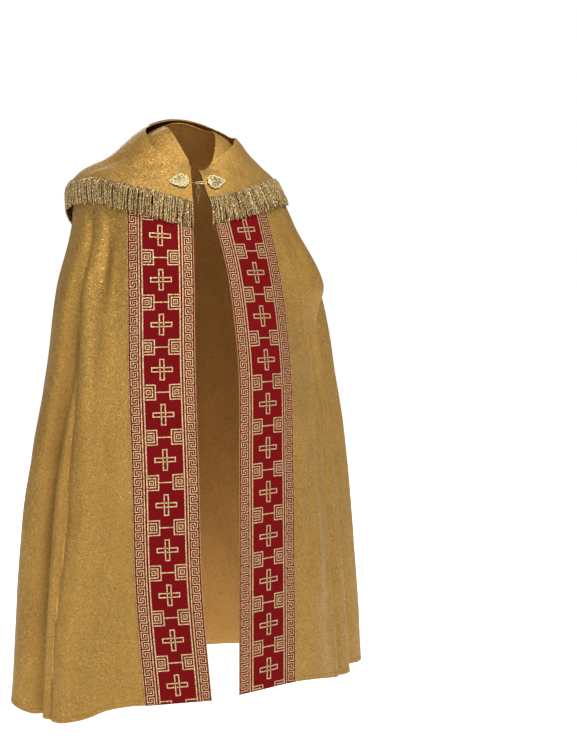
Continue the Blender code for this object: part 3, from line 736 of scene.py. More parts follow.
def lame(name, shades, metallic, rough, tilt):
    """Metallic cloth: a fine crosswise weave, cell by cell glitter and slow unevenness.
    `shades` are the dark, middle and bright colours."""
    n = Nodes(name)
    place = n.place("Object")
    weave = n.place("UV")
    cells, speck = n.cells(place, 620.0)
    fine = n.noise(place, 900.0, roughness=0.7)
    dark, middle, bright = shades
    grain = n.blend(speck[0], fine, 0.62)
    colour = n.ramp(grain, (0.10, dark), (0.40, middle), (0.78, middle), (0.92, bright))
    slow = n.noise(place, 7.0, 3.0, 0.55)
    shade = n.ramp(slow, (0.30, (0.86, 0.84, 0.80)), (0.70, (1.0, 1.0, 1.0)))
    rib = n.wave(weave, 240.0, "Y", 0.15)
    threads = n.wave(weave, 300.0, "X", 0.15)
    height = n.math("MULTIPLY_ADD", fine, 0.8, n.blend(rib, threads, 0.5))
    n.set(
        Base_Color=n.multiply(1.0, colour, shade),
        Metallic=n.between(speck[2], metallic - 0.30, metallic + 0.40),
        Roughness=n.between(speck[1], rough, rough + 0.22),
        Normal=n.bump(height, 0.00016, 0.4, Normal=n.tilted(cells, tilt)),
        Specular_IOR_Level=0.2,
    )
    return n.made


def woven_ground(name):
    """Crimson ground of the bands: a fine satin with weft lines across it."""
    n = Nodes(name)
    weave = n.place("UV")
    place = n.place("Object")
    warp = n.wave(weave, 420.0, "X", 0.6)
    weft = n.wave(weave, 300.0, "Y", 0.8)
    tone = n.blend(n.noise(place, 1100.0, roughness=0.6), weft, 0.5)
    colour = n.ramp(tone, (0.15, (0.090, 0.0014, 0.0022)), (0.85, (0.200, 0.0032, 0.0050)))
    shade = n.ramp(n.noise(place, 9.0), (0.3, (0.8, 0.8, 0.8)), (0.7, (1, 1, 1)))
    n.set(
        Base_Color=n.multiply(0.5, colour, shade),
        Roughness=0.72,
        Normal=n.bump(n.blend(warp, weft, 0.4), 0.0002, 0.6),
        Specular_IOR_Level=0.05,
    )
    return n.made


def woven_gold(name):
    """Gold threads of the woven pattern, each a row of small bright stitches."""
    n = Nodes(name)
    thread = n.wave(n.place("UV"), 330.0, "Y", 0.5)
    cells, speck = n.cells(n.place("Object"), 760.0)
    colour = n.ramp(
        n.blend(speck[0], thread, 0.6),
        (0.14, (0.13, 0.065, 0.020)),
        (0.50, (0.46, 0.345, 0.15)),
        (0.86, (0.74, 0.63, 0.36)),
    )
    normal = n.bump(thread, 0.0002, 0.7, Normal=n.tilted(cells, 0.5))
    n.set(Base_Color=colour, Metallic=0.45, Roughness=0.46, Normal=normal)
    return n.made


def bullion(name):
    """Twisted metal thread: each strand has a tint of its own, with painted shade in the twist's grooves
    and painted light on its ridges.
    """
    n = Nodes(name)
    # The tint attribute carries each strand's own random tint, painted shade in the twist's grooves,
    # painted light on its ridges and painted shade on the strands behind.
    tint = n.add("ShaderNodeAttribute", attribute_name="tint").outputs["Fac"]
    place = n.place("Object")
    cells, speck = n.cells(place, 520.0)
    colour = n.ramp(
        n.blend(tint, speck[0], 0.45),
        (0.10, (0.030, 0.015, 0.006)),
        (0.32, (0.15, 0.085, 0.030)),
        (0.55, (0.42, 0.28, 0.105)),
        (0.74, (0.60, 0.44, 0.18)),
        (0.90, (0.92, 0.76, 0.42)),
    )
    normal = n.bump(n.noise(place, 1400.0, 1.0), 0.0002, 0.5, Normal=n.tilted(cells, 0.6))
    n.set(Base_Color=colour, Metallic=0.5, Roughness=0.42, Normal=normal)
    return n.made


def clasp_metal(name, dark, bright):
    """Cast pale gold metal, darker in its hollows, its roughness uneven."""
    n = Nodes(name)
    worn = n.noise(n.place("Object"), 420.0, 3.0, 0.6)
    point = n.add("ShaderNodeNewGeometry").outputs["Pointiness"]
    edge = n.ramp(point, (0.44, (0, 0, 0)), (0.54, (1, 1, 1)))
    colour = n.ramp(n.blend(worn, edge, 0.5), (0.25, dark), (0.75, bright))
    rough = n.between(worn, 0.34, 0.52)
    n.set(Base_Color=colour, Metallic=0.80, Roughness=rough, Normal=n.bump(worn, 0.0002, 0.5))
    return n.made


def thread_material(name, dark, light):
    n = Nodes(name)
    twist = n.noise(n.place("Object"), 1500.0)
    colour = n.ramp(twist, (0.3, dark), (0.7, light))
    n.set(Base_Color=colour, Roughness=0.6, Normal=n.bump(twist, 0.0001, 0.5))
    return n.made


GOLD = lame(
    "gold_lame", ((0.20, 0.102, 0.019), (0.385, 0.218, 0.047), (1.0, 0.82, 0.44)), 0.42, 0.42, 0.62
)
REVERSE = lame(
    "gold_reverse", ((0.34, 0.165, 0.038), (0.56, 0.31, 0.085), (0.80, 0.50, 0.18)), 0.32, 0.50, 0.45
)
RED = woven_ground("crimson_weave")
PATTERN = woven_gold("pattern_gold")
BULLION = bullion("bullion_thread")
METAL = clasp_metal("clasp_gold", (0.20, 0.14, 0.05), (0.78, 0.66, 0.36))
METAL_DARK = clasp_metal("clasp_hollows", (0.025, 0.016, 0.006), (0.17, 0.13, 0.055))
STITCH = thread_material("sewing_thread", (0.20, 0.105, 0.03), (0.36, 0.21, 0.07))


# ---------------------------------------------------------------- the cloak
HEM_SHARE = 0.984
FINE_ROWS = 176
HEM_ROWS = 10
FINE_COLUMNS = 384
HEM_STITCH = 0.012  # above the hem
ROW_CROWDING = 1.25
CLOAK_GIRTH = table("share metres", (0.0, 0.0016), (0.15, 0.0042), (1.0, 0.0072))  # a degree
CALM_BY_BAND = 0.05  # creases grow over this distance from a band
CALM = 0.1  # what is left of them on it
CREASES_FROM, CREASES_OVER = 0.10, 0.12  # shares
GATHERS = {"pitch": 0.026, "reach": 0.020, "depth": 0.0007}
GATHERS_FROM, GATHERS_OVER = 0.12, 0.06  # shares
HEM_RIPPLE = {"turns": 2.6, "drift": 1.5, "drift_turns": 0.7, "depth": 0.0008, "reach": 0.030}
HEM_CALM = 0.03
STITCH_DENT = 0.0006
STITCH_DENT_WIDE = 0.0022
LINING_STEPS = 6.0  # grid steps over which the inner face sets back


def cloak_shares():
    upper = np.linspace(0.0, 1.0, FINE_ROWS + 1) ** ROW_CROWDING * HEM_SHARE
    return np.concatenate([upper, np.linspace(HEM_SHARE, 1.0, HEM_ROWS + 1)[1:]])


def cloak_row(share, stops):
    """Angles at stops along one row, each stop a distance from the right front edge, or
    from the left one where it is negative."""
    angles = np.linspace(*edge_angles(share), DENSE)
    run = run_along(cloak(share, angles))
    stops = stops(run[-1])
    return np.interp(stops, run, angles), stops, run[-1]


def band_width(length):
    return min(BAND_WIDTH, NARROW_BAND * length)


def cloak_height(share, angle, from_edge):
    """Creases, slow swells, and the gathers beside the bands and above the hem."""
    girth = read_straight(CLOAK_GIRTH, share)
    height = crease_height(CLOAK_CREASES, share, angle, SIDE_RUN, girth) + swell_height(share, angle)
    height += fold_height(share, angle, girth)
    off_band = from_edge - BAND_WIDTH
    height *= smooth(off_band / CALM_BY_BAND) * (1.0 - CALM) + CALM
    height *= smooth((share - CREASES_FROM) / CREASES_OVER)
    gathers = pucker(off_band, share * SIDE_RUN, **GATHERS)
    height += gathers * smooth((share - GATHERS_FROM) / GATHERS_OVER)
    above_hem = (1.0 - share) * SIDE_RUN
    hem = HEM_RIPPLE
    ripple = np.sin(angle * hem["turns"] + hem["drift"] * np.sin(angle * hem["drift_turns"]))
    height += hem["depth"] * ripple * smooth(off_band / HEM_CALM) * np.exp(-(above_hem / hem["reach"]))
    height -= STITCH_DENT * np.exp(-(((above_hem - HEM_STITCH) / STITCH_DENT_WIDE) ** 2))
    return height


def cloak_grid():
    def stops(length):
        return np.linspace(0.0, length, FINE_COLUMNS + 1)

    shares = cloak_shares()
    rows = [cloak_row(share, stops) for share in shares]
    angle, run = np.array([row[0] for row in rows]), np.array([row[1] for row in rows])
    base = np.array([cloak(share, at) for share, at in zip(shares, angle)])
    share = np.broadcast_to(shares[:, None], angle.shape)
    height = cloak_height(share, angle, np.minimum(run, run[:, -1:] - run))
    outer = base + grid_normals(base) * height[..., None]
    return shares, outer, np.stack([run, share * SIDE_RUN], axis=-1)


def make_cloak():
    shares, outer, uv = cloak_grid()
    normals = grid_normals(outer)
    rows, columns = (np.arange(count) for count in outer.shape[:2])
    from_edge = np.minimum(np.minimum(rows, rows[::-1])[:, None], np.minimum(columns, columns[::-1]))
    thick = CLOTH + (LINING_SET - CLOTH) * smooth(from_edge / LINING_STEPS)
    inner = (outer - normals * thick[..., None])[::2, ::2]
    obj = shell("cope_cloth", outer, inner, uv, (GOLD, REVERSE), 2, ("cope_body",))
    return obj, outer, normals, shares


# ---------------------------------------------------------------- bands
BAND_FINE = 36


def band_grid(side):
    """The panel's points under a front band, front edge first, from its top to the hem,
    with the distance up from the hem."""
    def stops(length):
        across = np.linspace(0.0, band_width(length), BAND_FINE + 1)
        return across if side > 0 else length - across

    shares = cloak_shares()
    base, height = [], []
    for share in shares[shares >= BAND_START]:
        at, run, length = cloak_row(share, stops)
        from_edge = np.abs(run - (0.0 if side > 0 else length))
        base.append(cloak(share, at))
        height.append(cloak_height(np.full(at.shape, share), at, from_edge))
    base = np.array(base)
    grid = base + grid_normals(base) * side * np.array(height)[..., None]
    run = run_along(grid[:, BAND_FINE // 2])
    return grid, grid_normals(grid) * side, run[-1] - run


def band_wall(name, grid, normals, rise, side, replaces):
    """A band's closed wall, its pattern metres in the UV."""
    low = grid + normals * SEAM
    high = grid + normals * (SEAM + BAND)
    across = np.linspace(0.0, BAND_WIDTH, grid.shape[1])
    uv = np.stack(np.broadcast_arrays(across[None, :], rise[:, None]), axis=-1)
    if side < 0:
        low, high, uv = low[:, ::-1], high[:, ::-1], uv[:, ::-1]
    return shell(name, high, low, uv, (RED, RED), 1, replaces)


def key_block(b, up):
    """A line of the key, a little thinner than its thread and still meeting the others."""
    end = KEY_THIN if b.wide > b.tall else -KEY_THIN
    left = KEY_LEFT + b.left + KEY_THIN
    return Block(left, up + b.low + end, b.wide - 2 * KEY_THIN, b.tall - 2 * end)


def pattern_blocks():
    """The blocks of one repeat, both halves, in threads."""
    pitch = REPEAT_THREADS / KEYS_A_REPEAT
    half = [SELVEDGE, *LINES, *SQUARES]
    half += [key_block(b, k * pitch) for k in range(KEYS_A_REPEAT) for b in KEY]
    other = [Block(2 * HALF_THREADS - b.left - b.wide, b.low, b.wide, b.tall) for b in half]
    return half + other + cross_blocks()


def cross_blocks():
    """An outlined cross whose four long lines pass over and under one another. It is
    centred on the repeat's ends, so its lower half comes first and its upper half last."""
    arm, line, reach, part = CROSS_ARM, CROSS_LINE / 2, CROSS_REACH, CROSS_PART
    inner = 2 * (arm - line)
    whole = []
    for sign in (-1, 1):
        # An upright line goes under the level line on its own side, a level line under the
        # upright one on the other side.
        for upright, under in ((True, sign * arm), (False, -sign * arm)):
            for a, b in ((-reach, under - line - part), (under + line + part, reach)):
                start, size = (sign * arm - line, a), (2 * line, b - a)
                whole.append((*start, *size) if upright else (*start[::-1], *size[::-1]))
        end = sign * (reach - line) - line
        whole += [(end, -arm + line, 2 * line, inner), (-arm + line, end, inner, 2 * line)]
    blocks = []
    for left, low, wide, tall in whole:
        left += HALF_THREADS
        if low < 0:
            blocks.append(Block(left, low + REPEAT_THREADS, wide, min(tall, -low)))
        if low + tall > 0:
            blocks.append(Block(left, max(low, 0.0), wide, low + tall - max(low, 0.0)))
    return blocks


def pattern_relief(name, grid, normals, rise, side, phase):
    """Raised gold threads: a lattice cut at every block's edges, its lit cells lifted and
    walled. `phase` is the height above the hem of one cross."""
    blocks = pattern_blocks()
    thread = REPEAT / REPEAT_THREADS
    across_thread = BAND_WIDTH / (2 * HALF_THREADS)
    us = np.unique(np.round([v for b in blocks for v in (b.left, b.left + b.wide)], 3))
    vs = np.unique(
        np.round([v for b in blocks for v in (b.low, b.low + b.tall)] + [0, REPEAT_THREADS], 3)
    )
    lit = np.zeros((len(vs) - 1, len(us) - 1), bool)
    u_mid, v_mid = (us[1:] + us[:-1]) / 2, (vs[1:] + vs[:-1]) / 2
    for b in blocks:
        hit_u = (u_mid > b.left) & (u_mid < b.left + b.wide)
        hit_v = (v_mid > b.low) & (v_mid < b.low + b.tall)
        lit |= hit_v[:, None] & hit_u[None, :]
    first = math.floor((rise.min() - phase) / REPEAT)
    last = math.ceil((rise.max() - phase) / REPEAT)
    heights = np.concatenate(
        [phase + (k + vs[:-1] / REPEAT_THREADS) * REPEAT for k in range(first, last)]
    )
    lit = np.concatenate([lit] * (last - first))[:-1]
    low, high = rise.min() + thread * PATTERN_MARGIN, rise.max() - thread * PATTERN_MARGIN
    keep = (heights >= low) & (heights <= high)
    start = int(np.flatnonzero(keep)[0])
    stop = int(np.flatnonzero(keep)[-1])
    heights, lit = heights[start : stop + 1], lit[start:stop]
    return lattice(name, grid, normals, rise, side, us * across_thread, heights, lit)


def lattice(name, grid, normals, rise, side, u, v, lit):
    """Lit cells of a lattice over a band, as one raised mesh with walls round it."""
    columns = u / BAND_WIDTH * (grid.shape[1] - 1)
    c0 = np.clip(columns.astype(int), 0, grid.shape[1] - 2)
    fc = columns - c0
    rise = np.broadcast_to(rise.reshape(len(rise), -1), grid.shape[:2])
    climb = rise[:, c0] * (1 - fc) + rise[:, c0 + 1] * fc
    index = np.arange(len(rise))[::-1]
    rows = np.stack([np.interp(v, climb[::-1, k], index) for k in range(len(u))], axis=1)
    floor = np.maximum(climb[-1, :-1], climb[-1, 1:])
    roof = np.minimum(climb[0, :-1], climb[0, 1:])
    lit = lit & (v[1:, None] > floor + TOUCH) & (v[:-1, None] < roof - TOUCH)
    r0 = np.clip(rows.astype(int), 0, grid.shape[0] - 2)
    fc = fc[None, :, None]
    fr = (rows - r0)[..., None]

    def sample(values):
        upper = values[r0, c0] * (1 - fc) + values[r0, c0 + 1] * fc
        lower = values[r0 + 1, c0] * (1 - fc) + values[r0 + 1, c0 + 1] * fc
        return upper * (1 - fr) + lower * fr

    face, out = sample(grid), unit(sample(normals))
    top = face + out * (SEAM + BAND + THREAD_RISE)
    foot = face + out * (SEAM + BAND - THREAD_SINK)
    n_v, n_u = len(v), len(u)
    index = np.arange(n_v * n_u).reshape(n_v, n_u)
    a, b = index[:-1, :-1][lit], index[:-1, 1:][lit]
    c, d = index[1:, 1:][lit], index[1:, :-1][lit]
    quads = [np.stack([a, b, c, d], axis=-1)]
    padded = np.pad(lit, 1)
    below = n_v * n_u
    for dr, dc, p, q in ((-1, 0, a, b), (1, 0, c, d), (0, 1, b, c), (0, -1, d, a)):
        near = padded[1 + dr : padded.shape[0] - 1 + dr, 1 + dc : padded.shape[1] - 1 + dc][lit]
        p, q = p[~near], q[~near]
        quads.append(np.stack([q, p, p + below, q + below], axis=-1))
    quads = np.concatenate(quads)
    if side > 0:
        quads = quads[:, ::-1]
    points = np.concatenate([top.reshape(-1, 3), foot.reshape(-1, 3)])
    uv = np.stack(np.broadcast_arrays(u[None, :], v[:, None]), axis=-1).reshape(-1, 2)
    used, quads = np.unique(quads, return_inverse=True)
    mesh = new_mesh(name, points[used], quads.reshape(-1, 4))
    add_uv(mesh, np.concatenate([uv, uv])[used])
    mesh.set_sharp_from_angle(angle=PATTERN_SHARP)
    return add_piece(name, mesh, (PATTERN,))


def make_front_band(name, side, phase):
    """A front band, with its pattern and the seams along its two edges."""
    grid, normals, rise = band_grid(side)
    band = band_wall(name + "_band", grid, normals, rise, side, (name,))
    extras = [pattern_relief(name + "_pattern", grid, normals, rise, side, phase)]
    for k, at in enumerate((0, BAND_FINE)):
        path, out = grid[1:-1, at], normals[1:-1, at]
        extras.append(stitches(f"{name}_seam_{k}", path, out, SEAM + BAND + STITCH_LIFT))
    return band, extras


# ---------------------------------------------------------------- the hood
HOOD_FINE_SIDE = 176
HOOD_FINE_BACK = 36
HOOD_FINE_ROWS = 88
WAY_CROWDING = 0.9
HOOD_GIRTH = table("way metres", (0.0, 0.0015), (0.4, 0.0026), (1.0, 0.0040))  # a degree
HOOD_LONG = 0.20
HOOD_SWELL = 0.35
HOOD_GATHERS = {"pitch": 0.017, "reach": 0.016, "depth": 0.0011}
HOOD_SWELL_SHARE, HOOD_SWELL_TURN = 0.5, 40.0  # where the hood reads the cloak's swells
NECK_CALM = 0.15  # share of the way over which the creases begin
SEAM_CALM, SEAM_CALM_OVER = 0.25, 0.04  # what is left of them at the band, metres to full
FRONT_CALM, FRONT_CALM_FROM, FRONT_CALM_OVER = 0.2, 12.0, 14.0  # the same at the front, degrees
GATHERS_BEGIN = 0.1
DEEPEST_CREASE = 0.0030
DEEPER_DOWN, DEEPER_OVER = 0.0020, 0.3


def hood_height(way, angle, from_band, down):
    """Creases, swells and gathers, calmer at the neck, beside the band and at the front."""
    girth = read_straight(HOOD_GIRTH, way)
    height = crease_height(HOOD_CREASES, way, angle, HOOD_LONG, girth)
    height += HOOD_SWELL * swell_height(way * HOOD_SWELL_SHARE, angle + HOOD_SWELL_TURN)
    height *= smooth(way / NECK_CALM)
    height *= SEAM_CALM + (1.0 - SEAM_CALM) * smooth(from_band / SEAM_CALM_OVER)
    front = smooth((np.minimum(angle, FULL_TURN - angle) - FRONT_CALM_FROM) / FRONT_CALM_OVER)
    height *= FRONT_CALM + (1.0 - FRONT_CALM) * front
    height += pucker(from_band, down, **HOOD_GATHERS) * smooth(way / GATHERS_BEGIN)
    return np.maximum(height, -DEEPEST_CREASE - DEEPER_DOWN * smooth(way / DEEPER_OVER))


def hood_fine_row(way):
    angles = np.linspace(*hood_limits(way), DENSE)
    run = run_along(hood_face(way, angles))
    middle = np.interp(BACK, angles, run)
    half = BAND_WIDTH / 2
    stops = np.concatenate(
        [
            np.linspace(0.0, middle - half, HOOD_FINE_SIDE + 1)[:-1],
            np.linspace(middle - half, middle + half, HOOD_FINE_BACK + 1),
            np.linspace(middle + half, run[-1], HOOD_FINE_SIDE + 1)[1:],
        ]
    )
    at = np.interp(stops, run, angles)
    return hood_face(way, at), at, stops - middle


def hood_grid():
    ways = np.linspace(0.0, 1.0, HOOD_FINE_ROWS + 1) ** WAY_CROWDING
    base, angle, across = (np.array(part) for part in zip(*map(hood_fine_row, ways)))
    way = np.broadcast_to(ways[:, None], angle.shape)
    down = np.broadcast_to(run_along(base[:, base.shape[1] // 2])[:, None], angle.shape)
    height = hood_height(way, angle, np.abs(across) - BAND_WIDTH / 2, down)
    outer = base + grid_normals(base) * (CLOTH + height[..., None])
    return outer, np.stack([across, down], axis=-1), angle


def make_hood():
    outer, uv, angle = hood_grid()
    normals = grid_normals(outer)
    inner = (outer - normals * CLOTH)[::2, ::2]
    obj = shell("hood_cloth", outer, inner, uv, (GOLD, REVERSE), 2, ("hood",))
    return obj, outer, normals, angle


BACK_BAND_TOP = 0.012
BACK_BAND_END = 0.007


def make_back_band(outer, normals, phase):
    """The band down the middle of the hood, from the neck seam to its point."""
    columns = slice(HOOD_FINE_SIDE, HOOD_FINE_SIDE + HOOD_FINE_BACK + 1)
    middle = HOOD_FINE_BACK // 2
    run = run_along(outer[:, HOOD_FINE_SIDE + middle])
    keep = (run > BACK_BAND_TOP) & (run < run[-1] - BACK_BAND_END)
    grid, out = outer[keep, columns], normals[keep, columns]
    # The weave runs straight across the band and the hood's point cuts it, so the rise is
    # what is left of the middle's length below each place.
    steps = np.linalg.norm(np.diff(grid, axis=0), axis=-1)
    down = np.concatenate([np.zeros((1, grid.shape[1])), np.cumsum(steps, axis=0)])
    rise = down[-1, middle] - down
    across = np.linspace(0.0, BAND_WIDTH, grid.shape[1])
    uv = np.stack(np.broadcast_arrays(across[None, :], rise), axis=-1)
    high, low = grid + out * (SEAM + BAND), grid + out * SEAM
    band = shell("back_band", high, low, uv, (RED, RED), 1, ("hood_orphrey",))
    gold = pattern_relief("back_band_pattern", grid, out, rise, -1, phase)
    return band, gold


# ---------------------------------------------------------------- fringe
STRAND_PITCH = 0.00440
STRAND_RADIUS = 0.00150
STRAND_RINGS = 22
STRAND_SIDES = 6
TWIST_PITCH = 0.0080
BACK_PITCH = 0.0047
BACK_RADIUS = 0.0015
UNDER_PAINTED_SHADE = 0.22  # painted shade: the strands behind are darkened as if shadowed by the front ones
UNDER_SHORT = 0.003
FRINGE_SEED = 11
STRAND_JITTER, BACK_JITTER = 0.25, 0.3  # of the pitch
CLUMPS = ((1.0, 0.21, 0.0), (0.6, 0.083, 1.0))  # strength, turn for each strand, phase
STRAND_UNEVEN = (0.86, 1.14)
ROOT_TAPER, END_TAPER = 0.6, 0.35
# The third of these paints shade in each strand's twist grooves and light on its ridges.
TINT_FLOOR, TINT_SPREAD, TWIST_PAINTED_SHADING = 0.28, 0.46, 0.40
HEADING_STOP = 0.6  # share of the heading at which a strand has its second ring
TIP_UNEVEN = (-0.0038, 0.0030)
TIP_OUT = (-0.0006, 0.0014)
CLUMP_LEAN = 0.0014
STRAND_LEAN = 0.0026
STRAND_BOW = 0.0009
KNEE_UP, KNEE_OUT = 0.008, 0.0006
RIDGE = 0.30  # of a strand's radius
CORD_CLEARANCE = 0.0004
CORD_STEP = 0.0012
CORD_TURN = 0.0052  # length of one full turn
CORD_OFFSET = 0.00065
CORD_RADIUS = 0.00068
CORD_TINT = 0.55
EDGE_ROWS = 8  # rows of the hood's grid that give the way up from its edge


def fringe_frame(outer, normals, angle, pitch, jitter, rng):
    """Top, edge and tip of every strand, with the way along the edge and out of it."""
    run = run_along(outer[-1])
    count = int(run[-1] / pitch)
    stops = (np.arange(count) + 0.5) * run[-1] / count
    stops += rng.uniform(-jitter, jitter, count) * pitch
    low = along(run, outer[-1], stops)
    out = unit(along(run, normals[-1], stops))
    tangent = unit(along(run, np.gradient(outer[-1], axis=0), stops))
    up = unit(along(run, outer[-EDGE_ROWS] - outer[-1], stops))
    at = np.interp(stops, run, angle[-1])
    return low, out, tangent, up, at


def strand_paths(frame_of, drop, gap, rng):
    """A path for each strand: up its heading, over a knee and down clear of the cloak."""
    low, out, tangent, up, at = frame_of
    count = len(at)
    root = low + out * gap
    top = root + up * STRIP_HEIGHT
    z = root[:, 2] - drop
    share = share_at_height(at, z)
    foot = cloak(share, at) + cloak_normals(share, at) * TIP_CLEARANCE
    spread = np.hypot(foot[:, 0], foot[:, 1]) / np.hypot(root[:, 0], root[:, 1])
    tip = np.concatenate([root[:, :2] * np.maximum(spread, 1.0)[:, None], z[:, None]], axis=1)
    tip[:, 2] += rng.uniform(*TIP_UNEVEN, count)
    clump = sum(size * np.sin(np.arange(count) * turn + phase) for size, turn, phase in CLUMPS)
    lean = CLUMP_LEAN * clump + rng.uniform(-STRAND_LEAN, STRAND_LEAN, count)
    bow = tangent * rng.normal(0.0, STRAND_BOW, count)[:, None]
    tip += tangent * lean[:, None] + out * rng.uniform(*TIP_OUT, count)[:, None]
    head = STRIP_HEIGHT / (STRIP_HEIGHT + drop)
    knee = root - up * KNEE_UP + out * KNEE_OUT
    paths = []
    for s in [0.0, head * HEADING_STOP, *np.linspace(head, 1.0, STRAND_RINGS - 1)]:
        if s <= head:
            paths.append(top + (root - top) * s / head)
        else:
            t = (s - head) / (1 - head)
            sag = bow * math.sin(math.pi * t)
            paths.append((1 - t) ** 2 * root + 2 * t * (1 - t) * knee + t**2 * tip + sag)
    return np.array(paths).transpose(1, 0, 2)


def strands(name, paths, tangent, radius, rng, shade=1.0):
    """Twisted strands as one mesh. Two ridges wind round each, and its end is rounded. Their tint paints
    shade in the twist's grooves and light on its ridges.
    """
    count, rings = paths.shape[:2]
    sides = STRAND_SIDES
    ahead = np.gradient(paths, axis=1)
    side = np.broadcast_to(tangent[:, None], paths.shape)
    up = unit(np.cross(ahead, side))
    side = unit(np.cross(up, ahead))
    turn = 2 * math.pi * np.arange(sides) / sides
    length = np.linspace(0.0, FRINGE_DROP + STRIP_HEIGHT, rings)
    phase = rng.uniform(0, 2 * math.pi, (count, 1, 1))
    wind = phase + 2 * math.pi * length[None, :, None] / TWIST_PITCH
    twist = np.cos(2 * (turn[None, None, :] - wind / 2))
    taper = np.array([ROOT_TAPER, *[1.0] * (rings - 2), END_TAPER])
    thick = radius * rng.uniform(*STRAND_UNEVEN, (count, 1, 1)) * (1.0 + RIDGE * twist)
    thick = thick * taper[None, :, None]
    ring = np.cos(turn)[:, None] * side[:, :, None] + np.sin(turn)[:, None] * up[:, :, None]
    points = paths[:, :, None] + ring * thick[..., None]
    k, r, j = np.meshgrid(np.arange(count), np.arange(rings - 1), np.arange(sides), indexing="ij")
    a = (k * rings + r) * sides + j
    b = (k * rings + r) * sides + (j + 1) % sides
    quads = np.stack([a, b, b + sides, a + sides], axis=-1).reshape(-1, 4)
    first = np.arange(count)[:, None] * rings * sides + (rings - 1) * sides
    caps = [np.concatenate([first + m for m in cap], axis=1) for cap in ((0, 1, 2, 3), (0, 3, 4, 5))]
    mesh = new_mesh(name, points, np.concatenate([quads, *caps]))
    tint = rng.uniform(0.0, 1.0, (count, 1, 1))
    # Painted shade: `shade` darkens a whole layer of strands, here the strands behind the fringe.
    value = shade * np.clip(TINT_FLOOR + TINT_SPREAD * tint + TWIST_PAINTED_SHADING * twist, 0, 1)
    add_tint(mesh, np.broadcast_to(value, (count, rings, sides)).ravel())
    return add_piece(name, mesh, (BULLION,))


def make_fringe(outer, normals, angle):
    """The fringe, the strands behind it darkened with painted shade, and its heading."""
    rng = np.random.default_rng(FRINGE_SEED)
    front = fringe_frame(outer, normals, angle, STRAND_PITCH, STRAND_JITTER, rng)
    paths = strand_paths(front, FRINGE_DROP, STRIP_GAP + STRIP_THICK, rng)
    fringe = strands("bullion_fringe", paths, front[2], STRAND_RADIUS, rng)
    behind = fringe_frame(outer, normals, angle, BACK_PITCH, BACK_JITTER, rng)
    paths = strand_paths(behind, FRINGE_DROP - UNDER_SHORT, STRIP_GAP + SEAM, rng)
    under = strands("bullion_under", paths, behind[2], BACK_RADIUS, rng, UNDER_PAINTED_SHADE)
    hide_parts("hood_fringe")
    return fringe, under, make_heading(outer, normals)


def make_heading(outer, normals):
    """The braid that the strands are sewn under: two cords wound round each other."""
    up = unit(outer[-EDGE_ROWS] - outer[-1])
    clear = STRIP_GAP + STRIP_THICK + CORD_CLEARANCE
    line = outer[-1] + up * STRIP_HEIGHT + normals[-1] * clear
    run = run_along(line)
    stops = np.linspace(0.0, run[-1], int(run[-1] / CORD_STEP))
    centre = along(run, line, stops)
    out = unit(along(run, normals[-1], stops))
    rise = unit(along(run, up, stops))
    parts = []
    for phase in (0.0, math.pi):
        wind = (phase + 2 * math.pi * stops / CORD_TURN)[:, None]
        path = centre + CORD_OFFSET * (np.cos(wind) * rise + np.sin(wind) * out)
        parts.append(tube(path, CORD_RADIUS, out, 5))
    mesh = joined_mesh("fringe_heading", parts)
    add_tint(mesh, [CORD_TINT] * len(mesh.vertices))
    return add_piece("fringe_heading", mesh, (BULLION,))


# ---------------------------------------------------------------- stitching and piping
STITCH_LONG = 0.0030
STITCH_PITCH = 0.0044
STITCH_RADIUS = 0.00032
STITCH_LIFT = 0.0001
# A stitch dips into the cloth at both ends: share of its length, height and girth there.
STITCH_SHAPE = ((0.0, -0.6, 0.5), (0.2, 0.6, 1.0), (0.5, 1.0, 1.0), (0.8, 0.6, 1.0), (1.0, -0.6, 0.5))


def stitches(name, path, normals, rise):
    """A row of small raised stitches along a path on the cloth."""
    run = run_along(path)
    count = int(run[-1] / STITCH_PITCH)
    t, arch, fat = np.array(STITCH_SHAPE).T
    parts = []
    for start in (np.arange(count) + 0.2) * run[-1] / count:
        at = start + t * STITCH_LONG
        out = unit(along(run, normals, at))
        points = along(run, path, at) + out * (rise + STITCH_RADIUS * arch[:, None])
        parts.append(tube(points, STITCH_RADIUS * fat, out, 4))
    return add_piece(name, joined_mesh(name, parts), (STITCH,))


def make_hem_stitches(outer, normals, shares):
    row = int(np.argmin(np.abs((1.0 - shares) * SIDE_RUN - HEM_STITCH)))
    path, out = outer[row, 2:-2], normals[row, 2:-2]
    return stitches("hem_stitches", path, out, 2 * STITCH_LIFT)


# ---------------------------------------------------------------- clasp
def smooth_copy(name, node, body):
    """A rounder piece from a wire node's own mesh, standing for it."""
    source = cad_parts[node]
    mesh = source.data.copy()
    mesh.materials.clear()
    mesh.shade_smooth()
    obj = add_piece(name, mesh, (METAL,), body, (node,))
    modifier = obj.modifiers.new("round", "SUBSURF")
    modifier.levels = modifier.render_levels = 2
    return obj


def plate_frame(node):
    """A probe of a clasp plate's face, in metres left and up from its centre, and its way out."""
    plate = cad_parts[node]
    co = np.array([v.co for v in plate.data.vertices])
    centre = (co.min(0) + co.max(0)) / 2
    _, _, ways = np.linalg.svd(co - co.mean(0), full_matrices=False)
    left = ways[0] * np.sign(ways[0][0])
    out = ways[2] * -np.sign(ways[2][1])
    up = np.cross(out, left)
    up = up * np.sign(up[2])
    probe = BVHTree.FromObject(plate, bpy.context.evaluated_depsgraph_get())

    def on_face(a, b, rise):
        place = centre + left * a + up * b
        hit = probe.ray_cast(Vector(place + out * PROBE_FROM), Vector(-out))[0]
        if hit is None:
            # Past the plate's edge, the height of its nearest place.
            near = probe.find_nearest(Vector(place))[0]
            hit = place + out * float((np.array(near) - centre) @ out)
        return np.array(hit) + out * rise

    return on_face, out


PROBE_FROM = 0.03
LEAF_LONG = 0.0232
LEAF_TALL = 0.0186
LEAF_LOBES = 11
LEAF_THICK = 0.0014
LEAF_RINGS = 7
LEAF_STEPS = 176
LEAF_LIFT = 0.0001
WIRE_SIDES = 6
BEADS = 18
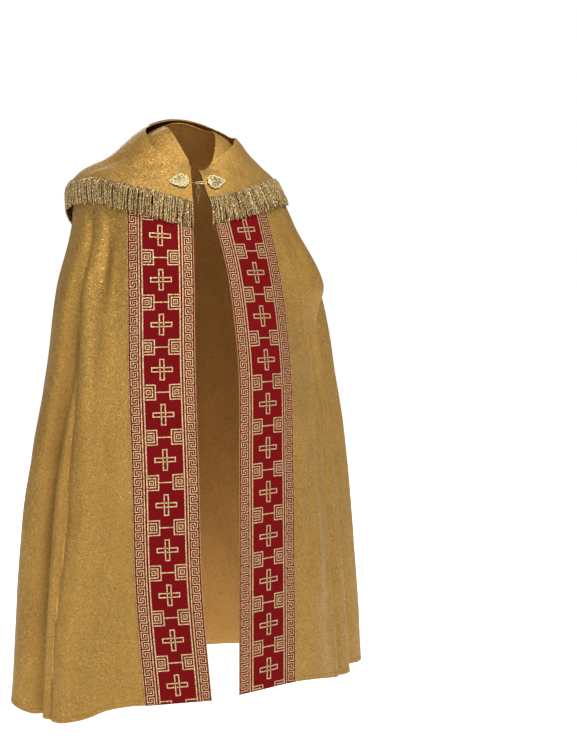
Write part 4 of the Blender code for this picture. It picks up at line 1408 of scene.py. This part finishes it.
# Radius of each kind of wire and its height above the plate.
WIRES = {
    "rope": (0.00105, 0.0003),
    "inner": (0.00042, 0.0004),
    "stem": (0.0006, 0.0006),
    "vein": (0.00040, 0.0005),
    "scroll": (0.00046, 0.0008),
    "bead": (0.00065, 0.0007),
}
ROPE_WAVE = 0.00022
INNER_LONG, INNER_TALL = 0.80, 0.78  # of the leaf
BEADS_LONG, BEADS_TALL = 0.90, 0.89
BEAD_RING = 0.00055
STEM_FROM, STEM_TO = -0.8, 0.9  # of the leaf's half length
VEIN_PITCH, VEIN_START = 0.19, -0.05
VEIN_TALL, VEIN_SHORTER = 0.62, 0.055
VEIN_BEND = 0.0050
SCROLL_TURNS = 1.6
# Share of the leaf's length and height, radius and first angle of the scrolls on one half.
SCROLLS = (
    (0.30, 0.36, 0.0042, 0.0),
    (-0.18, 0.46, 0.0046, 1.2),
    (-0.60, 0.24, 0.0040, 2.4),
    (0.62, 0.14, 0.0026, 0.4),
)


def leaf_outline(turn, outward):
    """A lobed leaf with its tip on the outward side, as (a, b) metres."""
    tip = 0.5 + 0.5 * math.cos(turn)
    tooth = abs(math.sin(LEAF_LOBES * turn / 2)) ** 0.7
    lobe = 1.0 - 0.15 * (1.0 - tooth) * (1.0 - tip**8)
    narrow = 1.0 - 0.50 * tip**2
    a = outward * LEAF_LONG * math.cos(turn) * (0.84 + 0.16 * tip**3) * lobe
    return a, LEAF_TALL * math.sin(turn) * lobe * narrow


def scroll(a, b, radius, turns, start):
    """A small spiral about (a, b)."""
    for t in np.arange(22) / 21:
        turn = start + 2 * math.pi * turns * t
        r = radius * (1.0 - 0.85 * t)
        yield a + r * math.cos(turn), b + r * math.sin(turn)


def make_leaf_base(name, node, outline, on_face, out):
    """The leaf's cast ground, darker than the wires that lie on it."""
    scales = [k / LEAF_RINGS for k in range(1, LEAF_RINGS + 1)]
    top = [on_face(0.0, 0.0, LEAF_LIFT)]
    top += [on_face(a * s, b * s, LEAF_LIFT) for s in scales for a, b in outline]
    top = np.array(top)
    count, behind = len(outline), len(top)
    points = np.concatenate([top, top - out * LEAF_THICK])
    quads, tris = [], []
    for k in range(count):
        nxt = (k + 1) % count
        tris += [(0, 1 + k, 1 + nxt), (behind, behind + 1 + nxt, behind + 1 + k)]
        for ring in range(LEAF_RINGS - 1):
            a, b = 1 + ring * count + k, 1 + ring * count + nxt
            quads.append((a, a + count, b + count, b))
            quads.append((a + behind, b + behind, b + count + behind, a + count + behind))
        a, b = 1 + (LEAF_RINGS - 1) * count + k, 1 + (LEAF_RINGS - 1) * count + nxt
        quads.append((a, a + behind, b + behind, b))
    mesh = new_mesh(name, points, quads, tris)
    mesh.set_sharp_from_angle(angle=LEAF_SHARP)
    return add_piece(name, mesh, (METAL_DARK,), BODY, (node,))


def make_plate(name, node, outward):
    """Leaf filigree laid on a clasp plate: a rope border, a stem, veins, scrolls and beads."""
    on_face, out = plate_frame(node)
    parts = []

    def wire(path, kind, closed=False, wave=0.0):
        radius, rise = WIRES[kind]
        points = [on_face(a, b, rise) for a, b in path]
        radius = radius + wave * np.sin(np.arange(len(points)) * math.pi / 2)
        parts.append(tube(points, radius, out, WIRE_SIDES, closed))

    outline = [leaf_outline(2 * math.pi * k / LEAF_STEPS, outward) for k in range(LEAF_STEPS)]
    make_leaf_base(name + "_base", node, outline, on_face, out)
    wire(outline, "rope", True, ROPE_WAVE)
    wire([(a * INNER_LONG, b * INNER_TALL) for a, b in outline], "inner", True)
    wire([(outward * LEAF_LONG * a, 0.0) for a in np.linspace(STEM_FROM, STEM_TO, 21)], "stem")
    for k in range(-3, 4):
        base = outward * LEAF_LONG * (VEIN_PITCH * k + VEIN_START)
        for sign in (-1, 1):
            reach = sign * LEAF_TALL * (VEIN_TALL - VEIN_SHORTER * abs(k))
            steps = np.linspace(0.05, 1.0, 9)
            wire([(base + outward * VEIN_BEND * t * t, reach * t) for t in steps], "vein")
    for a, b, radius, start in SCROLLS:
        for sign in (-1, 1):
            spot = (outward * a * LEAF_LONG, sign * b * LEAF_TALL)
            wire(scroll(*spot, radius, SCROLL_TURNS * sign * outward, start), "scroll")
    for k in range(BEADS):
        a, b = leaf_outline(2 * math.pi * (k + 0.5) / BEADS, outward)
        a, b = a * BEADS_LONG, b * BEADS_TALL
        wire([(a + BEAD_RING * math.cos(m), b + BEAD_RING * math.sin(m)) for m in range(6)], "bead", True)
    return add_piece(name, joined_mesh(name, parts), (METAL,))


def make_clasp():
    make_plate("leaf_right", "clasp_plate_right", -1.0)
    make_plate("leaf_left", "clasp_plate_left", 1.0)
    smooth_copy("hook_wire", "clasp_hook", BODY)
    smooth_copy("loop_wire", "clasp_loop", BODY)
    for k in (1, 2, 3):
        smooth_copy(f"link_{k}", f"chain_link_{k}", f"chain_link_{k}")


# ---------------------------------------------------------------- stage
CAMERA_AT = (-1.2012, -3.3570, -0.2499)
CAMERA_YAW = -23.417
CAMERA_PITCH = 4.431
CAMERA_LENS = 73.19
FLOOR_Z = -1.47
PALE = (0.86, 0.86, 0.86)
SURROUND = 0.26  # strength of the white surround's light
MIDDLE = (0.0, 0.0, -0.6)
LAMPS = table(
    "name at aim size watts",
    ("key", (0.1, -3.8, 3.9), MIDDLE, (1.3, 1.3), 208.0),
    ("top", (0.5, -1.5, 3.0), (0.0, 0.0, -0.15), (1.2, 1.2), 66.0),
    ("fill", (-3.8, -2.6, 0.9), MIDDLE, (2.0, 2.4), 26.0),
    ("back", (0.6, 4.0, 2.2), MIDDLE, (2.4, 2.4), 60.0),
)


def make_camera():
    data = bpy.data.cameras.new("camera")
    data.lens = CAMERA_LENS
    data.sensor_width = 36.0
    camera = add_object("camera", data)
    camera.location = CAMERA_AT
    camera.rotation_euler = (math.radians(90.0 - CAMERA_PITCH), 0.0, math.radians(CAMERA_YAW))
    bpy.context.scene.camera = camera


def make_light(name, at, aim, size, watts):
    data = bpy.data.lights.new(name, "AREA")
    data.shape = "RECTANGLE"
    data.size, data.size_y = size
    data.energy = watts
    lamp = add_object(name, data)
    lamp.location = at
    lamp.rotation_euler = (Vector(aim) - Vector(at)).to_track_quat("-Z", "Y").to_euler()


def make_stage():
    """A pale floor, soft lamps and a white surround."""
    n = Nodes("floor")
    n.set(Base_Color=PALE, Roughness=0.9, Emission_Color=(1.0, 1.0, 1.0), Emission_Strength=0.85)
    corners = [(x, y, FLOOR_Z) for x, y in ((-30, -12), (30, -12), (30, 60), (-30, 60))]
    floor = add_object("floor", new_mesh("floor", corners, [(0, 1, 2, 3)]))
    floor.data.materials.append(n.made)
    world = bpy.data.worlds.new("surround")
    bpy.context.scene.world = world
    world.use_nodes = True
    nodes, links = world.node_tree.nodes, world.node_tree.links
    seen = nodes.new("ShaderNodeLightPath").outputs["Is Camera Ray"]
    strength = nodes.new("ShaderNodeMath")
    strength.operation = "MULTIPLY_ADD"
    strength.inputs[1].default_value = 1.0 - SURROUND
    strength.inputs[2].default_value = SURROUND
    links.new(seen, strength.inputs[0])
    links.new(strength.outputs[0], nodes["Background"].inputs["Strength"])
    nodes["Background"].inputs["Color"].default_value = (1, 1, 1, 1)
    for lamp in LAMPS:
        make_light(*lamp)
    bpy.context.scene.view_settings.view_transform = "Standard"


# ---------------------------------------------------------------- the whole
def main():
    make_camera()
    make_stage()
    cloth, outer, normals, shares = make_cloak()
    hem = make_hem_stitches(outer, normals, shares)
    fronts = [make_front_band("orphrey_right", 1, 0.040), make_front_band("orphrey_left", -1, 0.044)]
    hood, hood_outer, hood_normals, hood_angle = make_hood()
    back, back_gold = make_back_band(hood_outer, hood_normals, 0.087)
    trim = make_fringe(hood_outer, hood_normals, hood_angle)
    make_clasp()
    for band, extras in fronts:
        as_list(extras)


main()
